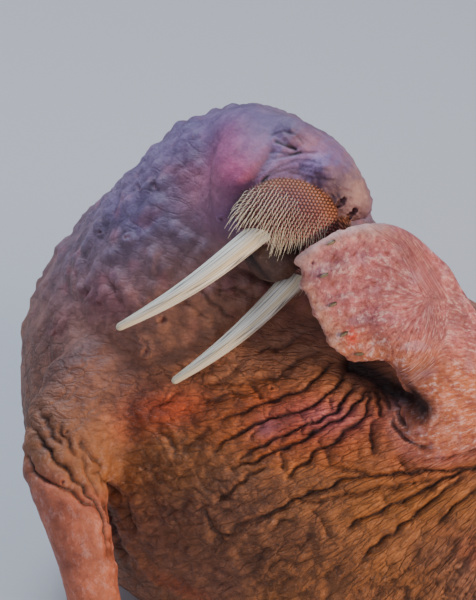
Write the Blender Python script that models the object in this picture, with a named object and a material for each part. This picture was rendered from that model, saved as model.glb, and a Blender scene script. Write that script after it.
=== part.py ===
"""A life-size walrus, a bull lying on its right flank with the fore body raised.

Lengths are in metres. The floor is z = 0. The animal is built as one smooth body from round
limbs and bulges, given by how far a point lies outside it, and is then parted with thin plane cuts.
"""
import itertools
import math

import bmesh
import bpy
import numpy as np
from mathutils import Matrix, Vector

# Gap that touching sub-parts keep between them
GAP = 0.0003

# Half the size of the block that cuts flesh off level at the floor
FLOOR_BLOCK = 3.0

# Trunk from the nape to the rump: x, y, height and radius of each round section
TRUNK = [
    (0.040, -0.006, 1.078, 0.131),
    (-0.009, 0.023, 0.949, 0.217),
    (-0.044, 0.015, 0.797, 0.282),
    (-0.011, 0.072, 0.634, 0.349),
    (-0.054, 0.073, 0.456, 0.411),
    (0.220, -0.120, 0.425, 0.415),
    (0.470, -0.220, 0.393, 0.396),
    (0.780, -0.290, 0.385, 0.398),
    (1.080, -0.250, 0.360, 0.375),
    (1.360, -0.150, 0.315, 0.330),
    (1.580, -0.050, 0.245, 0.250),
    (1.740, 0.020, 0.165, 0.165),
    (1.860, 0.050, 0.105, 0.070),
]
TAIL_TIP = (1.960, 0.065, 0.060, 0.020)

# Muscle of the back, which fills the inner bend between shoulders and loins
BACK = [
    (-0.020, 0.130, 0.560, 0.400),
    (0.160, 0.090, 0.440, 0.350),
    (0.400, 0.000, 0.330, 0.310),
    (0.660, -0.120, 0.340, 0.330),
]

# The breast, which sags to the floor between the forelimbs
BREAST = [
    (-0.150, -0.050, 0.290, 0.220),
    (0.020, -0.100, 0.300, 0.280),
    (0.260, -0.160, 0.330, 0.310),
]

# The head is set by its nose and by its three axes: forward, to its left, and to its crown
VIEW_TILT = math.radians(30)
NOSE_SEEN = (0.221, 0.192, 0.420)
FORWARD_SEEN = (0.600, -0.429, 0.675)
LEFT_SEEN = (0.479, -0.483, -0.733)
EYE_LEVEL = 0.75

# Bulges of the head, in its own axes from the point between the nostrils: centre, then radii
CRANIUM = ((-0.230, 0.0, -0.010), (0.170, 0.130, 0.096))
FACE = ((-0.140, 0.0, 0.025), (0.130, 0.112, 0.080))
SNOUT = ((-0.082, 0.0, -0.027), (0.085, 0.073, 0.068))
NOSE_MOUND = ((-0.037, 0.0, 0.028), (0.046, 0.102, 0.045))
CHIN = ((-0.072, 0.0, -0.168), (0.065, 0.056, 0.055))
JAW = ((-0.170, 0.0, -0.130), (0.130, 0.095, 0.080))
CHEEK = ((-0.180, 0.080, -0.070), (0.100, 0.070, 0.080))
BROW = ((-0.150, 0.088, 0.055), (0.060, 0.036, 0.030))
UPPER_LID = ((-0.140, 0.107, 0.037), (0.026, 0.017, 0.013))
LOWER_LID = ((-0.140, 0.110, 0.014), (0.026, 0.016, 0.012))
PAD_CENTRE = (-0.059, 0.063, -0.090)
PAD_RADII = (0.107, 0.070, 0.069)
PAD_ALONG = (-0.609, 0.530, -0.590)
PAD_OUT = (0.682, 0.730, -0.049)

# Openings of the head
NOSTRIL = ((0.006, 0.025, 0.001), (0.024, 0.0085, 0.0125))
MOUTH = ((-0.036, 0.0, -0.128), (0.030, 0.050, 0.0035))
EYE_CENTRE = (-0.140, 0.0925, 0.026)
EYE_RADIUS = 0.019
EYE_SLIT = ((-0.140, 0.118, 0.025), (0.017, 0.020, 0.0030))

# Tusks: where they leave the lip, where they end, and their sizes
TUSK_EXIT = (-0.060, 0.089, -0.169)
TUSK_TIP = (-0.164, 0.118, -0.496)
TUSK_ROOT = 0.045
TUSK_RADIUS = 0.026
TUSK_BOW = 0.016
TUSK_SIDES = 14


def unit(vector):
    """The vector at length one."""
    vector = np.asarray(vector, float)
    return vector / np.linalg.norm(vector)


def from_view(right, up, near):
    """A point given as seen by someone who looks along +Y and down at VIEW_TILT, in world axes."""
    sine, cosine = math.sin(VIEW_TILT), math.cos(VIEW_TILT)
    return np.array([right, up * sine - near * cosine, up * cosine + near * sine])


def raised(right, up, near):
    """The same, lifted so that the middle of that view is EYE_LEVEL above the floor."""
    return from_view(right, up, near) + np.array([0.0, 0.0, EYE_LEVEL])


NOSE = raised(*NOSE_SEEN)
FORWARD = unit(from_view(*FORWARD_SEEN))
LEFT = from_view(*LEFT_SEEN)
LEFT = unit(LEFT - FORWARD * (LEFT @ FORWARD))
CROWN = np.cross(FORWARD, LEFT)
HEAD_AXES = np.array([FORWARD, LEFT, CROWN])


def on_head(point):
    """A point given in the head's axes, in world axes."""
    return NOSE + np.asarray(point, float) @ HEAD_AXES


# Forelimbs: x, y, height, half width, half thickness, then the way the flat side faces
RIGHT_ARM = [
    (-0.300, -0.190, 0.600, 0.140, 0.090, 0.3, -0.9, 0.2),
    (-0.362, -0.305, 0.520, 0.090, 0.080, 0.3, -0.9, 0.2),
    (-0.326, -0.416, 0.376, 0.061, 0.066, 0.3, -0.9, 0.2),
    (-0.298, -0.475, 0.242, 0.057, 0.056, 0.3, -0.9, 0.2),
    (-0.300, -0.500, 0.130, 0.072, 0.050, -0.4, -0.7, 0.5),
    (-0.345, -0.530, 0.060, 0.085, 0.040, -0.5, -0.3, 0.8),
]


def arm_row(seen, width, thickness, facing):
    """A row of the raised forelimb from its place and facing in the tilted view."""
    return (*raised(*seen), width, thickness, *from_view(*facing))


LEFT_ARM = [
    arm_row((0.280, -0.220, 0.060), 0.160, 0.150, (0.3, 0.0, 1.0)),
    arm_row((0.400, -0.280, 0.240), 0.135, 0.115, (0.3, 0.0, 1.0)),
    arm_row((0.455, -0.210, 0.360), 0.116, 0.085, (0.3, 0.0, 0.9)),
    arm_row((0.418, -0.100, 0.420), 0.106, 0.058, (0.3, 0.0, 0.9)),
    arm_row((0.372, -0.010, 0.445), 0.100, 0.040, (0.3, 0.1, 0.9)),
]

# Digits of the raised forelimb, thumb first: places in the tilted view from wrist to tip
LEFT_DIGITS_SEEN = [
    [(0.405, 0.050, 0.440), (0.360, 0.108, 0.468), (0.300, 0.138, 0.488),
     (0.215, 0.128, 0.495), (0.126, 0.080, 0.490)],
    [(0.395, 0.018, 0.448), (0.338, 0.070, 0.475), (0.260, 0.080, 0.490),
     (0.195, 0.058, 0.495), (0.137, 0.031, 0.490)],
    [(0.385, -0.014, 0.450), (0.332, 0.014, 0.472), (0.270, 0.015, 0.483),
     (0.210, -0.003, 0.485), (0.163, -0.026, 0.480)],
    [(0.375, -0.050, 0.445), (0.328, -0.045, 0.462), (0.280, -0.050, 0.468),
     (0.230, -0.065, 0.470), (0.195, -0.084, 0.465)],
    [(0.367, -0.088, 0.435), (0.326, -0.095, 0.447), (0.295, -0.102, 0.452),
     (0.260, -0.110, 0.452), (0.233, -0.113, 0.447)],
]
HAND_RADII = (0.024, 0.021, 0.018, 0.015, 0.011)
WEB_RADII = (0.020, 0.015, 0.0118, 0.0095, 0.008)

# Digits laid flat on the floor: wrist, then for each digit its heading in degrees and its length
RIGHT_HAND = ((-0.345, -0.530, 0.055), ((238, 0.31), (219, 0.30), (201, 0.28), (184, 0.25), (166, 0.22)))
HIND_LENGTHS = (0.42, 0.37, 0.34, 0.36, 0.40)
RIGHT_FOOT = ((1.850, 0.185, 0.075), (76, 60, 45, 29, 12))
LEFT_FOOT = ((1.860, -0.110, 0.080), (-70, -54, -38, -22, -5))
FOOT_RADII = (0.034, 0.027, 0.022, 0.018, 0.013)
FOOT_WEB = (0.028, 0.020, 0.0150, 0.0120, 0.0095)
RIGHT_SHIN = [
    (1.660, 0.060, 0.170, 0.110, 0.100, 0, 0, 1),
    (1.770, 0.140, 0.110, 0.080, 0.065, 0, 0, 1),
    (1.860, 0.190, 0.075, 0.070, 0.045, 0, 0, 1),
]
LEFT_SHIN = [
    (1.660, -0.030, 0.190, 0.110, 0.100, 0, 0, 1),
    (1.780, -0.085, 0.125, 0.080, 0.065, 0, 0, 1),
    (1.870, -0.115, 0.080, 0.070, 0.045, 0, 0, 1),
]

# Block that parts a whisker pad from the head: its sides, its rim beyond the pad, its reach in and out
PAD_SIDES = 24
PAD_RIM = 0.004
PAD_BLOCK = (-0.020, 0.140)

# Bristles of each whisker pad: rows, their spread over the pad's height and length, and sizes
ROWS = 6
BRISTLES_A_ROW = 8
ROW_SPREAD = (-0.80, 0.70)
BRISTLE_SPREAD = (-0.66, 0.78)
PAD_EDGE = 0.92
BRISTLE_LENGTH = (0.012, 0.062)
BRISTLE_RADIUS = 0.0019
BRISTLE_SINK = 0.007
BRISTLE_DROOP = (0.75, -0.65, 0.0)
BRISTLE_CLEAR = 0.004

# Nails: share of the digit's length behind each, their radius, and rows of ahead, up and radius share
NAIL_SPOT = 0.80
NAIL_RADIUS = 0.0055
NAIL_ROWS = ((-0.0060, -0.0030, 1.0), (0.0, 0.0005, 1.0), (0.0112, 0.0020, 0.7), (0.0160, 0.0010, 0.35))
HAND_BACK = 0.015
FOOT_BACK = 0.018


def smooth_union(one, other, soften):
    """Join two distances with a fillet about as wide as soften."""
    mix = np.clip(0.5 + 0.5 * (other - one) / soften, 0.0, 1.0)
    return other * (1 - mix) + one * mix - soften * mix * (1 - mix)


def curve_through(stations, steps):
    """A smooth curve through rows of numbers, with steps short straight runs between each two."""
    rows = np.asarray(stations, float)
    ends = np.vstack([2 * rows[0] - rows[1], rows, 2 * rows[-1] - rows[-2]])
    part = np.linspace(0.0, 1.0, steps, endpoint=False)[:, None]
    runs = []
    for index in range(len(rows) - 1):
        before, start, stop, after = ends[index:index + 4]
        first = stop - before
        second = 2 * before - 5 * start + 4 * stop - after
        third = 3 * start - before - 3 * stop + after
        runs.append(start + 0.5 * (first * part + second * part ** 2 + third * part ** 3))
    return np.vstack(runs + [rows[-1:]])


def round_limb(points, line):
    """Distance to a round limb, whose rows are x, y, z and radius."""
    best = np.full(len(points), 9.0)
    for start, stop in zip(line[:-1], line[1:]):
        run = stop[:3] - start[:3]
        part = np.clip((points - start[:3]) @ run / (run @ run), 0.0, 1.0)
        away = points - start[:3] - part[:, None] * run
        radius = start[3] + part * (stop[3] - start[3])
        np.minimum(best, np.linalg.norm(away, axis=1) - radius, out=best)
    return best


def flat_limb(points, line):
    """Distance to a limb of oval section: x, y, z, half width, half thickness, facing."""
    best = np.full(len(points), 9.0)
    for start, stop in zip(line[:-1], line[1:]):
        run = stop[:3] - start[:3]
        part = np.clip((points - start[:3]) @ run / (run @ run), 0.0, 1.0)[:, None]
        row = start + part * (stop - start)
        away = points - row[:, :3]
        facing = row[:, 5:8] / np.linalg.norm(row[:, 5:8], axis=1)[:, None]
        height = (away * facing).sum(1)
        side = np.maximum((away * away).sum(1) - height ** 2, 0.0)
        near = np.sqrt(side / row[:, 3] ** 2 + height ** 2 / row[:, 4] ** 2)
        slope = np.sqrt(side / row[:, 3] ** 4 + height ** 2 / row[:, 4] ** 4)
        np.minimum(best, near * (near - 1) / np.maximum(slope, 1e-6), out=best)
    return best


def bulge(points, centre, radii, axes=None):
    """Distance to an ellipsoid."""
    away = points - np.asarray(centre)
    if axes is not None:
        away = away @ np.asarray(axes).T
    radii = np.asarray(radii, float)
    near = np.sqrt(((away / radii) ** 2).sum(1))
    slope = np.sqrt(((away / radii ** 2) ** 2).sum(1))
    return near * (near - 1) / np.maximum(slope, 1e-6)


def web_samples(digits, radii, across=9):
    """Places, facings and half thicknesses over the web between neighbouring digits."""
    lines = [curve_through(np.column_stack([digit, radii]), 5) for digit in digits]
    grid = np.array([curve_through(column, across - 1) for column in np.array(lines).transpose(1, 0, 2)])
    grid = grid[:-1]
    places = grid[..., :3]
    along = np.gradient(places, axis=0)
    aside = np.gradient(places, axis=1)
    facing = np.cross(along, aside)
    facing /= np.linalg.norm(facing, axis=2)[..., None]
    return places.reshape(-1, 3), facing.reshape(-1, 3), grid[..., 3].reshape(-1)


def web(points, samples, reach=0.06, spacing=0.012):
    """Distance to a sheet known by samples: the nearest few are blended."""
    places, facings, halves = samples
    low, high = places.min(0) - reach, places.max(0) + reach
    outside = np.maximum(np.maximum(low - points, points - high), 0.0)
    best = np.linalg.norm(outside, axis=1) + reach
    inside = np.flatnonzero(((points > low) & (points < high)).all(1))
    for begin in range(0, len(inside), 4000):
        index = inside[begin:begin + 4000]
        here = points[index]
        square = (here ** 2).sum(1)[:, None] + (places ** 2).sum(1)[None] - 2 * here @ places.T
        nearest = np.argpartition(square, 4, axis=1)[:, :4]
        total = np.zeros(len(index))
        weight = np.zeros(len(index))
        for column in nearest.T:
            away = here - places[column]
            height = (away * facings[column]).sum(1)
            side = np.sqrt(np.maximum((away ** 2).sum(1) - height ** 2, 0.0))
            side = np.maximum(side - 0.75 * spacing, 0.0)
            share = (1e-6 + (away ** 2).sum(1)) ** -1.5
            total += share * (np.hypot(height, side) - halves[column])
            weight += share
        best[index] = total / weight
    return best


def paddle(points, digits, radii, samples):
    """Distance to a hand or foot: its digits joined by their web."""
    result = web(points, samples)
    for digit in digits:
        line = curve_through(np.column_stack([digit, radii]), 4)
        result = smooth_union(result, round_limb(points, line), 0.008)
    return result


def fan(wrist, headings, lengths, floor_height, spread):
    """Digits that leave a wrist and lie down along the floor."""
    digits = []
    for order, (heading, length) in enumerate(zip(headings, lengths)):
        aim = np.array([math.cos(math.radians(heading)), math.sin(math.radians(heading)), 0.0])
        aside = np.array([-aim[1], aim[0], 0.0]) * spread * (order - 2) * -1.0
        digit = []
        for part in (0.0, 0.25, 0.5, 0.75, 1.0):
            place = np.array(wrist) + aim * length * part + aside * (1 - part)
            place[2] = floor_height + (wrist[2] - floor_height) * (1 - part) ** 3
            digit.append(place)
        digits.append(digit)
    return digits


TRUNK_LINE = curve_through(TRUNK + [TAIL_TIP], 4)
BACK_LINE = curve_through(BACK, 4)
BREAST_LINE = curve_through(BREAST, 4)
RIGHT_ARM_LINE = curve_through(RIGHT_ARM, 4)
LEFT_ARM_LINE = curve_through(LEFT_ARM, 4)
RIGHT_SHIN_LINE = curve_through(RIGHT_SHIN, 3)
LEFT_SHIN_LINE = curve_through(LEFT_SHIN, 3)
LEFT_DIGITS = [[raised(*place) for place in digit] for digit in LEFT_DIGITS_SEEN]
RIGHT_DIGITS = fan(RIGHT_HAND[0], *zip(*RIGHT_HAND[1]), 0.008, 0.020)
RIGHT_TOES = fan(RIGHT_FOOT[0], RIGHT_FOOT[1], HIND_LENGTHS, 0.009, 0.016)
LEFT_TOES = fan(LEFT_FOOT[0], LEFT_FOOT[1], HIND_LENGTHS, 0.009, 0.016)
LEFT_WEB = web_samples(LEFT_DIGITS, WEB_RADII)
RIGHT_WEB = web_samples(RIGHT_DIGITS, WEB_RADII)
RIGHT_FOOT_WEB = web_samples(RIGHT_TOES, FOOT_WEB)
LEFT_FOOT_WEB = web_samples(LEFT_TOES, FOOT_WEB)


def mirrored(point, side):
    """A point of the head's left side, or its twin on the right where side is -1."""
    return (point[0], point[1] * side, point[2])


def pad_axes(side):
    """Long axis, height and outward axis of a whisker pad, in the head's axes."""
    along = unit(mirrored(PAD_ALONG, side))
    out = np.array(mirrored(PAD_OUT, side))
    out = unit(out - along * (out @ along))
    height = np.cross(along, out)
    if height[2] < 0:
        height = -height
    return np.array([along, height, out])


def head(points):
    """Distance to the head, in world axes."""
    local = (points - NOSE) @ HEAD_AXES.T
    result = bulge(local, *CRANIUM)
    for form in (FACE, SNOUT, JAW):
        result = smooth_union(result, bulge(local, *form), 0.040)
    result = smooth_union(result, bulge(local, *NOSE_MOUND), 0.020)
    result = smooth_union(result, bulge(local, *CHIN), 0.018)
    for side in (-1, 1):
        cheek = bulge(local, mirrored(CHEEK[0], side), CHEEK[1])
        result = smooth_union(result, cheek, 0.040)
        brow = bulge(local, mirrored(BROW[0], side), BROW[1])
        result = smooth_union(result, brow, 0.025)
        pad = bulge(local, mirrored(PAD_CENTRE, side), PAD_RADII, pad_axes(side))
        result = smooth_union(result, pad, 0.012)
    for side in (-1, 1):
        for lid in (UPPER_LID, LOWER_LID):
            fold = bulge(local, mirrored(lid[0], side), lid[1])
            result = smooth_union(result, fold, 0.006)
    return result


def trunk(points):
    """Distance to the trunk from nape to tail."""
    result = smooth_union(round_limb(points, TRUNK_LINE), round_limb(points, BACK_LINE), 0.120)
    return smooth_union(result, round_limb(points, BREAST_LINE), 0.080)


def core(points):
    """Distance to trunk and head together."""
    return smooth_union(trunk(points), head(points), 0.040)


def left_fore(points):
    """Distance to the raised forelimb, filleted into the trunk but free of the head."""
    hand = paddle(points, LEFT_DIGITS, HAND_RADII, LEFT_WEB)
    limb = smooth_union(flat_limb(points, LEFT_ARM_LINE), hand, 0.035)
    return smooth_union(trunk(points), limb, 0.070)


def right_fore(points):
    """Distance to the propping forelimb and the trunk that it grows from."""
    hand = paddle(points, RIGHT_DIGITS, HAND_RADII, RIGHT_WEB)
    limb = smooth_union(flat_limb(points, RIGHT_ARM_LINE), hand, 0.030)
    return smooth_union(trunk(points), limb, 0.040)


def right_hind(points):
    """Distance to the right hind flipper and the trunk that it grows from."""
    foot = paddle(points, RIGHT_TOES, FOOT_RADII, RIGHT_FOOT_WEB)
    limb = smooth_union(flat_limb(points, RIGHT_SHIN_LINE), foot, 0.030)
    return smooth_union(trunk(points), limb, 0.060)


def left_hind(points):
    """Distance to the left hind flipper and the trunk that it grows from."""
    foot = paddle(points, LEFT_TOES, FOOT_RADII, LEFT_FOOT_WEB)
    limb = smooth_union(flat_limb(points, LEFT_SHIN_LINE), foot, 0.030)
    return smooth_union(trunk(points), limb, 0.060)


def torso(points):
    """Distance to everything but the hands and feet."""
    result = smooth_union(core(points), flat_limb(points, RIGHT_ARM_LINE), 0.040)
    for shin in (RIGHT_SHIN_LINE, LEFT_SHIN_LINE):
        result = smooth_union(result, flat_limb(points, shin), 0.060)
    raised_arm = smooth_union(trunk(points), flat_limb(points, LEFT_ARM_LINE), 0.070)
    return np.minimum(result, raised_arm)


# For each set of inner corners of a tetrahedron, its corners in an order that keeps its turn
ORDERS = {
    (0,): (0, 1, 2, 3), (1,): (1, 0, 3, 2), (2,): (2, 0, 1, 3), (3,): (3, 0, 2, 1),
    (0, 1): (0, 1, 2, 3), (0, 2): (0, 2, 3, 1), (0, 3): (0, 3, 1, 2),
    (1, 2): (1, 2, 0, 3), (1, 3): (1, 3, 2, 0), (2, 3): (2, 3, 0, 1),
}


def crossings(inner):
    """Triangles of crossed edges that part the inner corners of a tetrahedron from the others."""
    outer = tuple(corner for corner in range(4) if corner not in inner)
    if len(inner) == 3:
        return [triangle[::-1] for triangle in crossings(outer)]
    first, second, third, fourth = ORDERS[inner]
    if len(inner) == 1:
        return [((first, second), (first, third), (first, fourth))]
    ring = ((first, third), (first, fourth), (second, fourth), (second, third))
    return [(ring[0], ring[1], ring[2]), (ring[0], ring[2], ring[3])]


def surface_net(field, low, high, step):
    """Corners and triangles of the surface where a field is zero.

    A box of cubes is split into six tetrahedra each, and the surface crosses each of them flat,
    so it is closed and never pinches.
    """
    low = np.asarray(low, float)
    counts = np.ceil((np.asarray(high) - low) / step).astype(int) + 1
    index = np.stack(np.meshgrid(*[np.arange(count) for count in counts], indexing="ij"), -1).reshape(-1, 3)
    values = field(low + index * step)
    stride = np.array([counts[1] * counts[2], counts[2], 1])
    base = np.flatnonzero((index < counts - 1).all(1))
    cube = base[:, None] + np.array([0, *stride, *(stride.sum() - stride), stride.sum()])
    inside = values[cube] < 0
    base = base[inside.any(1) & ~inside.all(1)]
    starts, stops = [], []
    for order in itertools.permutations(range(3)):
        odd = order not in ((0, 1, 2), (1, 2, 0), (2, 0, 1))
        corners = base[:, None] + np.array([0, *np.cumsum(stride[list(order)])])
        code = (values[corners] < 0) @ np.array([1, 2, 4, 8])
        for number in range(1, 15):
            inner = tuple(corner for corner in range(4) if number >> corner & 1)
            here = corners[code == number]
            for triangle in crossings(inner):
                edges = triangle[::-1] if odd else triangle
                starts.append(here[:, [edge[0] for edge in edges]])
                stops.append(here[:, [edge[1] for edge in edges]])
    starts, stops = np.vstack(starts), np.vstack(stops)
    key = np.minimum(starts, stops) * len(values) + np.maximum(starts, stops)
    key, faces = np.unique(key, return_inverse=True)
    one, other = key // len(values), key % len(values)
    share = (values[one] / (values[one] - values[other]))[:, None]
    corners = low + step * (index[one] * (1 - share) + index[other] * share)
    return corners, faces.reshape(-1, 3)


def settle(field, corners, rounds=4, step=0.0005):
    """Move corners straight onto the surface of a field."""
    for _ in range(rounds):
        value = field(corners)
        slope = np.column_stack([
            field(corners + step * offset) - field(corners - step * offset) for offset in np.eye(3)
        ]) / (2 * step)
        length = np.maximum((slope ** 2).sum(1), 0.25)
        corners = corners - slope * (value / length)[:, None]
    return corners


def largest_surface(shape):
    """Keep only the largest closed surface of a bmesh."""
    shape.faces.ensure_lookup_table()
    seen = set()
    best = []
    for face in shape.faces:
        if face in seen:
            continue
        island = [face]
        seen.add(face)
        for member in island:
            for edge in member.edges:
                for other in edge.link_faces:
                    if other not in seen:
                        seen.add(other)
                        island.append(other)
        if len(island) > len(best):
            best = island
    keep = set(best)
    bmesh.ops.delete(shape, geom=[face for face in shape.faces if face not in keep], context="FACES")
    bmesh.ops.delete(shape, geom=[vert for vert in shape.verts if not vert.link_faces], context="VERTS")


def slice_off(shape, point, normal):
    """Cut a closed bmesh by a plane, drop what lies on the normal's side, and close the cut."""
    geometry = shape.verts[:] + shape.edges[:] + shape.faces[:]
    cut = bmesh.ops.bisect_plane(shape, geom=geometry, dist=1e-6, plane_co=Vector(point),
                                 plane_no=Vector(normal), clear_outer=True)
    rim = [item for item in cut["geom_cut"] if isinstance(item, bmesh.types.BMEdge)]
    rim = [edge for edge in rim if edge.is_valid and edge.is_boundary]
    if rim:
        bmesh.ops.triangle_fill(shape, edges=rim, use_beauty=True, use_dissolve=False)
        bmesh.ops.recalc_face_normals(shape, faces=shape.faces[:])


def material(name, colour, roughness):
    """A plain material."""
    made = bpy.data.materials.new(name)
    made.use_nodes = True
    shader = made.node_tree.nodes["Principled BSDF"]
    shader.inputs["Base Color"].default_value = (*colour, 1.0)
    shader.inputs["Roughness"].default_value = roughness
    return made


def add_object(name, shape, finish):
    """Turn a bmesh into a named object with its material."""
    bmesh.ops.triangulate(shape, faces=[face for face in shape.faces if len(face.verts) > 3])
    mesh = bpy.data.meshes.new(name)
    shape.to_mesh(mesh)
    shape.free()
    mesh.materials.append(finish)
    mesh.shade_smooth()
    made = bpy.data.objects.new(name, mesh)
    bpy.context.scene.collection.objects.link(made)
    return made


def shape_from(corners, faces):
    """A bmesh from corners and faces."""
    mesh = bpy.data.meshes.new("shape")
    mesh.from_pydata(np.asarray(corners).tolist(), [], [list(map(int, face)) for face in faces])
    shape = bmesh.new()
    shape.from_mesh(mesh)
    bpy.data.meshes.remove(mesh)
    return shape


def copied(thing):
    """A bmesh of an object's own mesh."""
    shape = bmesh.new()
    shape.from_mesh(thing.data)
    return shape


def evaluated_shape(holder):
    """A bmesh of an object as its modifiers leave it."""
    bpy.context.view_layer.update()
    graph = bpy.context.evaluated_depsgraph_get()
    result = bmesh.new()
    mesh = holder.evaluated_get(graph).to_mesh()
    result.from_mesh(mesh)
    return result


def flesh_lump(field, span, step, ratio, finish):
    """A closed bmesh of the part of a field inside a box, thinned to a share of its faces."""
    low, high = np.array(span, float)

    def boxed(points):
        beyond = np.maximum(low + 1.5 * step - points, points - high + 1.5 * step).max(1)
        return np.maximum(field(points), beyond)

    corners, faces = surface_net(boxed, low, high, step)
    mesh = bpy.data.meshes.new("lump")
    mesh.from_pydata(settle(boxed, corners).tolist(), [], faces.tolist())
    holder = bpy.data.objects.new("lump", mesh)
    bpy.context.scene.collection.objects.link(holder)
    holder.modifiers.new("Thin", "DECIMATE").ratio = ratio
    shape = evaluated_shape(holder)
    largest_surface(shape)
    shape.to_mesh(holder.data)
    shape.free()
    holder.modifiers.clear()
    if low[2] < 0:
        below = wedge((0.0, 0.0, -FLOOR_BLOCK), FLOOR_BLOCK, [], 0.0)
        combine(holder, [add_object("floor", below, finish)], "DIFFERENCE")
    shape = copied(holder)
    bpy.data.objects.remove(holder)
    return shape


def wedge(centre, half, planes, grow):
    """A closed box about a centre, cut back by planes given as point and outward normal."""
    shape = bmesh.new()
    bmesh.ops.create_cube(shape, size=2 * half)
    bmesh.ops.translate(shape, vec=Vector(centre), verts=shape.verts[:])
    for point, normal in planes:
        normal = unit(normal)
        slice_off(shape, np.asarray(point) + normal * grow, normal)
    return shape


def trimmed(shape, planes):
    """Cut a closed bmesh back by planes, half the gap inside each."""
    for point, normal in planes:
        normal = unit(normal)
        slice_off(shape, np.asarray(point) - normal * GAP / 2, normal)
    largest_surface(shape)
    return shape


def limb_object(name, lump, box, finish):
    """The part of a lump inside a limb's box, as an object."""
    made = add_object(name, lump, finish)
    centre, half, planes = box
    combine(made, [add_object("box", wedge(centre, half, planes, -GAP / 2), finish)], "INTERSECT")
    return made


def combine(base, others, operation, solver="EXACT"):
    """Join closed pieces to a base object, or cut them out of it, and drop the pieces."""
    group = bpy.data.collections.new("pieces")
    bpy.context.scene.collection.children.link(group)
    for piece in others:
        for owner in piece.users_collection:
            owner.objects.unlink(piece)
        group.objects.link(piece)
        piece.hide_render = True
        piece.display_type = "WIRE"
    modifier = base.modifiers.new("Combine", "BOOLEAN")
    modifier.operation = operation
    modifier.operand_type = "COLLECTION"
    modifier.collection = group
    modifier.solver = solver
    shape = evaluated_shape(base)
    base.modifiers.remove(modifier)
    largest_surface(shape)
    bmesh.ops.triangulate(shape, faces=[face for face in shape.faces if len(face.verts) > 3])
    shape.to_mesh(base.data)
    shape.free()
    for piece in list(others):
        bpy.data.objects.remove(piece)
    bpy.data.collections.remove(group)


def tapered(line, sides):
    """A closed tapering rod along rows of x, y, z and radius, with a pointed tip."""
    line = np.asarray(line, float)
    run = np.gradient(line[:, :3], axis=0)
    run /= np.linalg.norm(run, axis=1)[:, None]
    lean = np.array([0.0, 0.0, 1.0]) if abs(run[0][2]) < 0.9 else np.array([1.0, 0.0, 0.0])
    corners = []
    for place, aim in zip(line[:-1], run[:-1]):
        side = unit(np.cross(aim, lean))
        up = np.cross(aim, side)
        for turn in range(sides):
            angle = 2 * math.pi * turn / sides
            corners.append(place[:3] + place[3] * (side * math.cos(angle) + up * math.sin(angle)))
    rings = len(line) - 1
    corners.append(line[-1, :3] + run[-1] * line[-1, 3] * 0.5)
    tip = len(corners) - 1
    faces = [[turn for turn in range(sides)]]
    for ring in range(rings - 1):
        for turn in range(sides):
            nearer, further = ring * sides, (ring + 1) * sides
            after = (turn + 1) % sides
            faces.append([nearer + turn, further + turn, further + after, nearer + after])
    last = (rings - 1) * sides
    for turn in range(sides):
        faces.append([last + turn, tip, last + (turn + 1) % sides])
    shape = shape_from(corners, faces)
    bmesh.ops.triangulate(shape, faces=shape.faces[:])
    bmesh.ops.recalc_face_normals(shape, faces=shape.faces[:])
    return shape


def ellipsoid(centre, radii, axes, rings=8, around=14):
    """A closed round form about a point on the head, for an eye or to cut an opening."""
    shape = bmesh.new()
    bmesh.ops.create_uvsphere(shape, u_segments=around, v_segments=rings, radius=1.0)
    for vert in shape.verts:
        vert.co = Vector(on_head(np.asarray(centre) + (np.array(vert.co) * radii) @ np.asarray(axes)))
    bmesh.ops.recalc_face_normals(shape, faces=shape.faces[:])
    return shape


def pad_block(side, grow):
    """An oval block round one whisker pad, up to the middle of the muzzle."""
    axes = pad_axes(side)
    rim = PAD_RIM + grow
    near, far = PAD_BLOCK
    sizes = np.array([PAD_RADII[0] + rim, PAD_RADII[1] + rim, far - near + 2 * grow])
    middle = np.array([0.0, 0.0, (near + far) / 2])
    shape = bmesh.new()
    bmesh.ops.create_cone(shape, cap_ends=True, segments=PAD_SIDES, radius1=1.0, radius2=1.0, depth=1.0)
    for vert in shape.verts:
        local = middle + np.array(vert.co) * sizes
        vert.co = Vector(on_head(np.asarray(mirrored(PAD_CENTRE, side)) + local @ axes))
    bmesh.ops.recalc_face_normals(shape, faces=shape.faces[:])
    slice_off(shape, on_head((0, -side * grow, 0)), -side * LEFT)
    return shape


def tusk_line(side, grow=0.0):
    """Centre line and radius of a tusk, from its root in the lip to its tip."""
    start = np.array(mirrored(TUSK_EXIT, side))
    stop = np.array(mirrored(TUSK_TIP, side))
    aim = unit(stop - start)
    bow = unit(np.array([1.0, 0.0, 0.0]) - aim * aim[0])
    rows = []
    for part in np.linspace(-(TUSK_ROOT + grow) / np.linalg.norm(stop - start), 1.0, 9):
        inside = max(part, 0.0)
        radius = TUSK_RADIUS * (1 - inside ** 1.6 * 0.72)
        place = start + (stop - start) * part + bow * TUSK_BOW * math.sin(math.pi * inside)
        rows.append((*on_head(place), radius + grow))
    return rows


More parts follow.
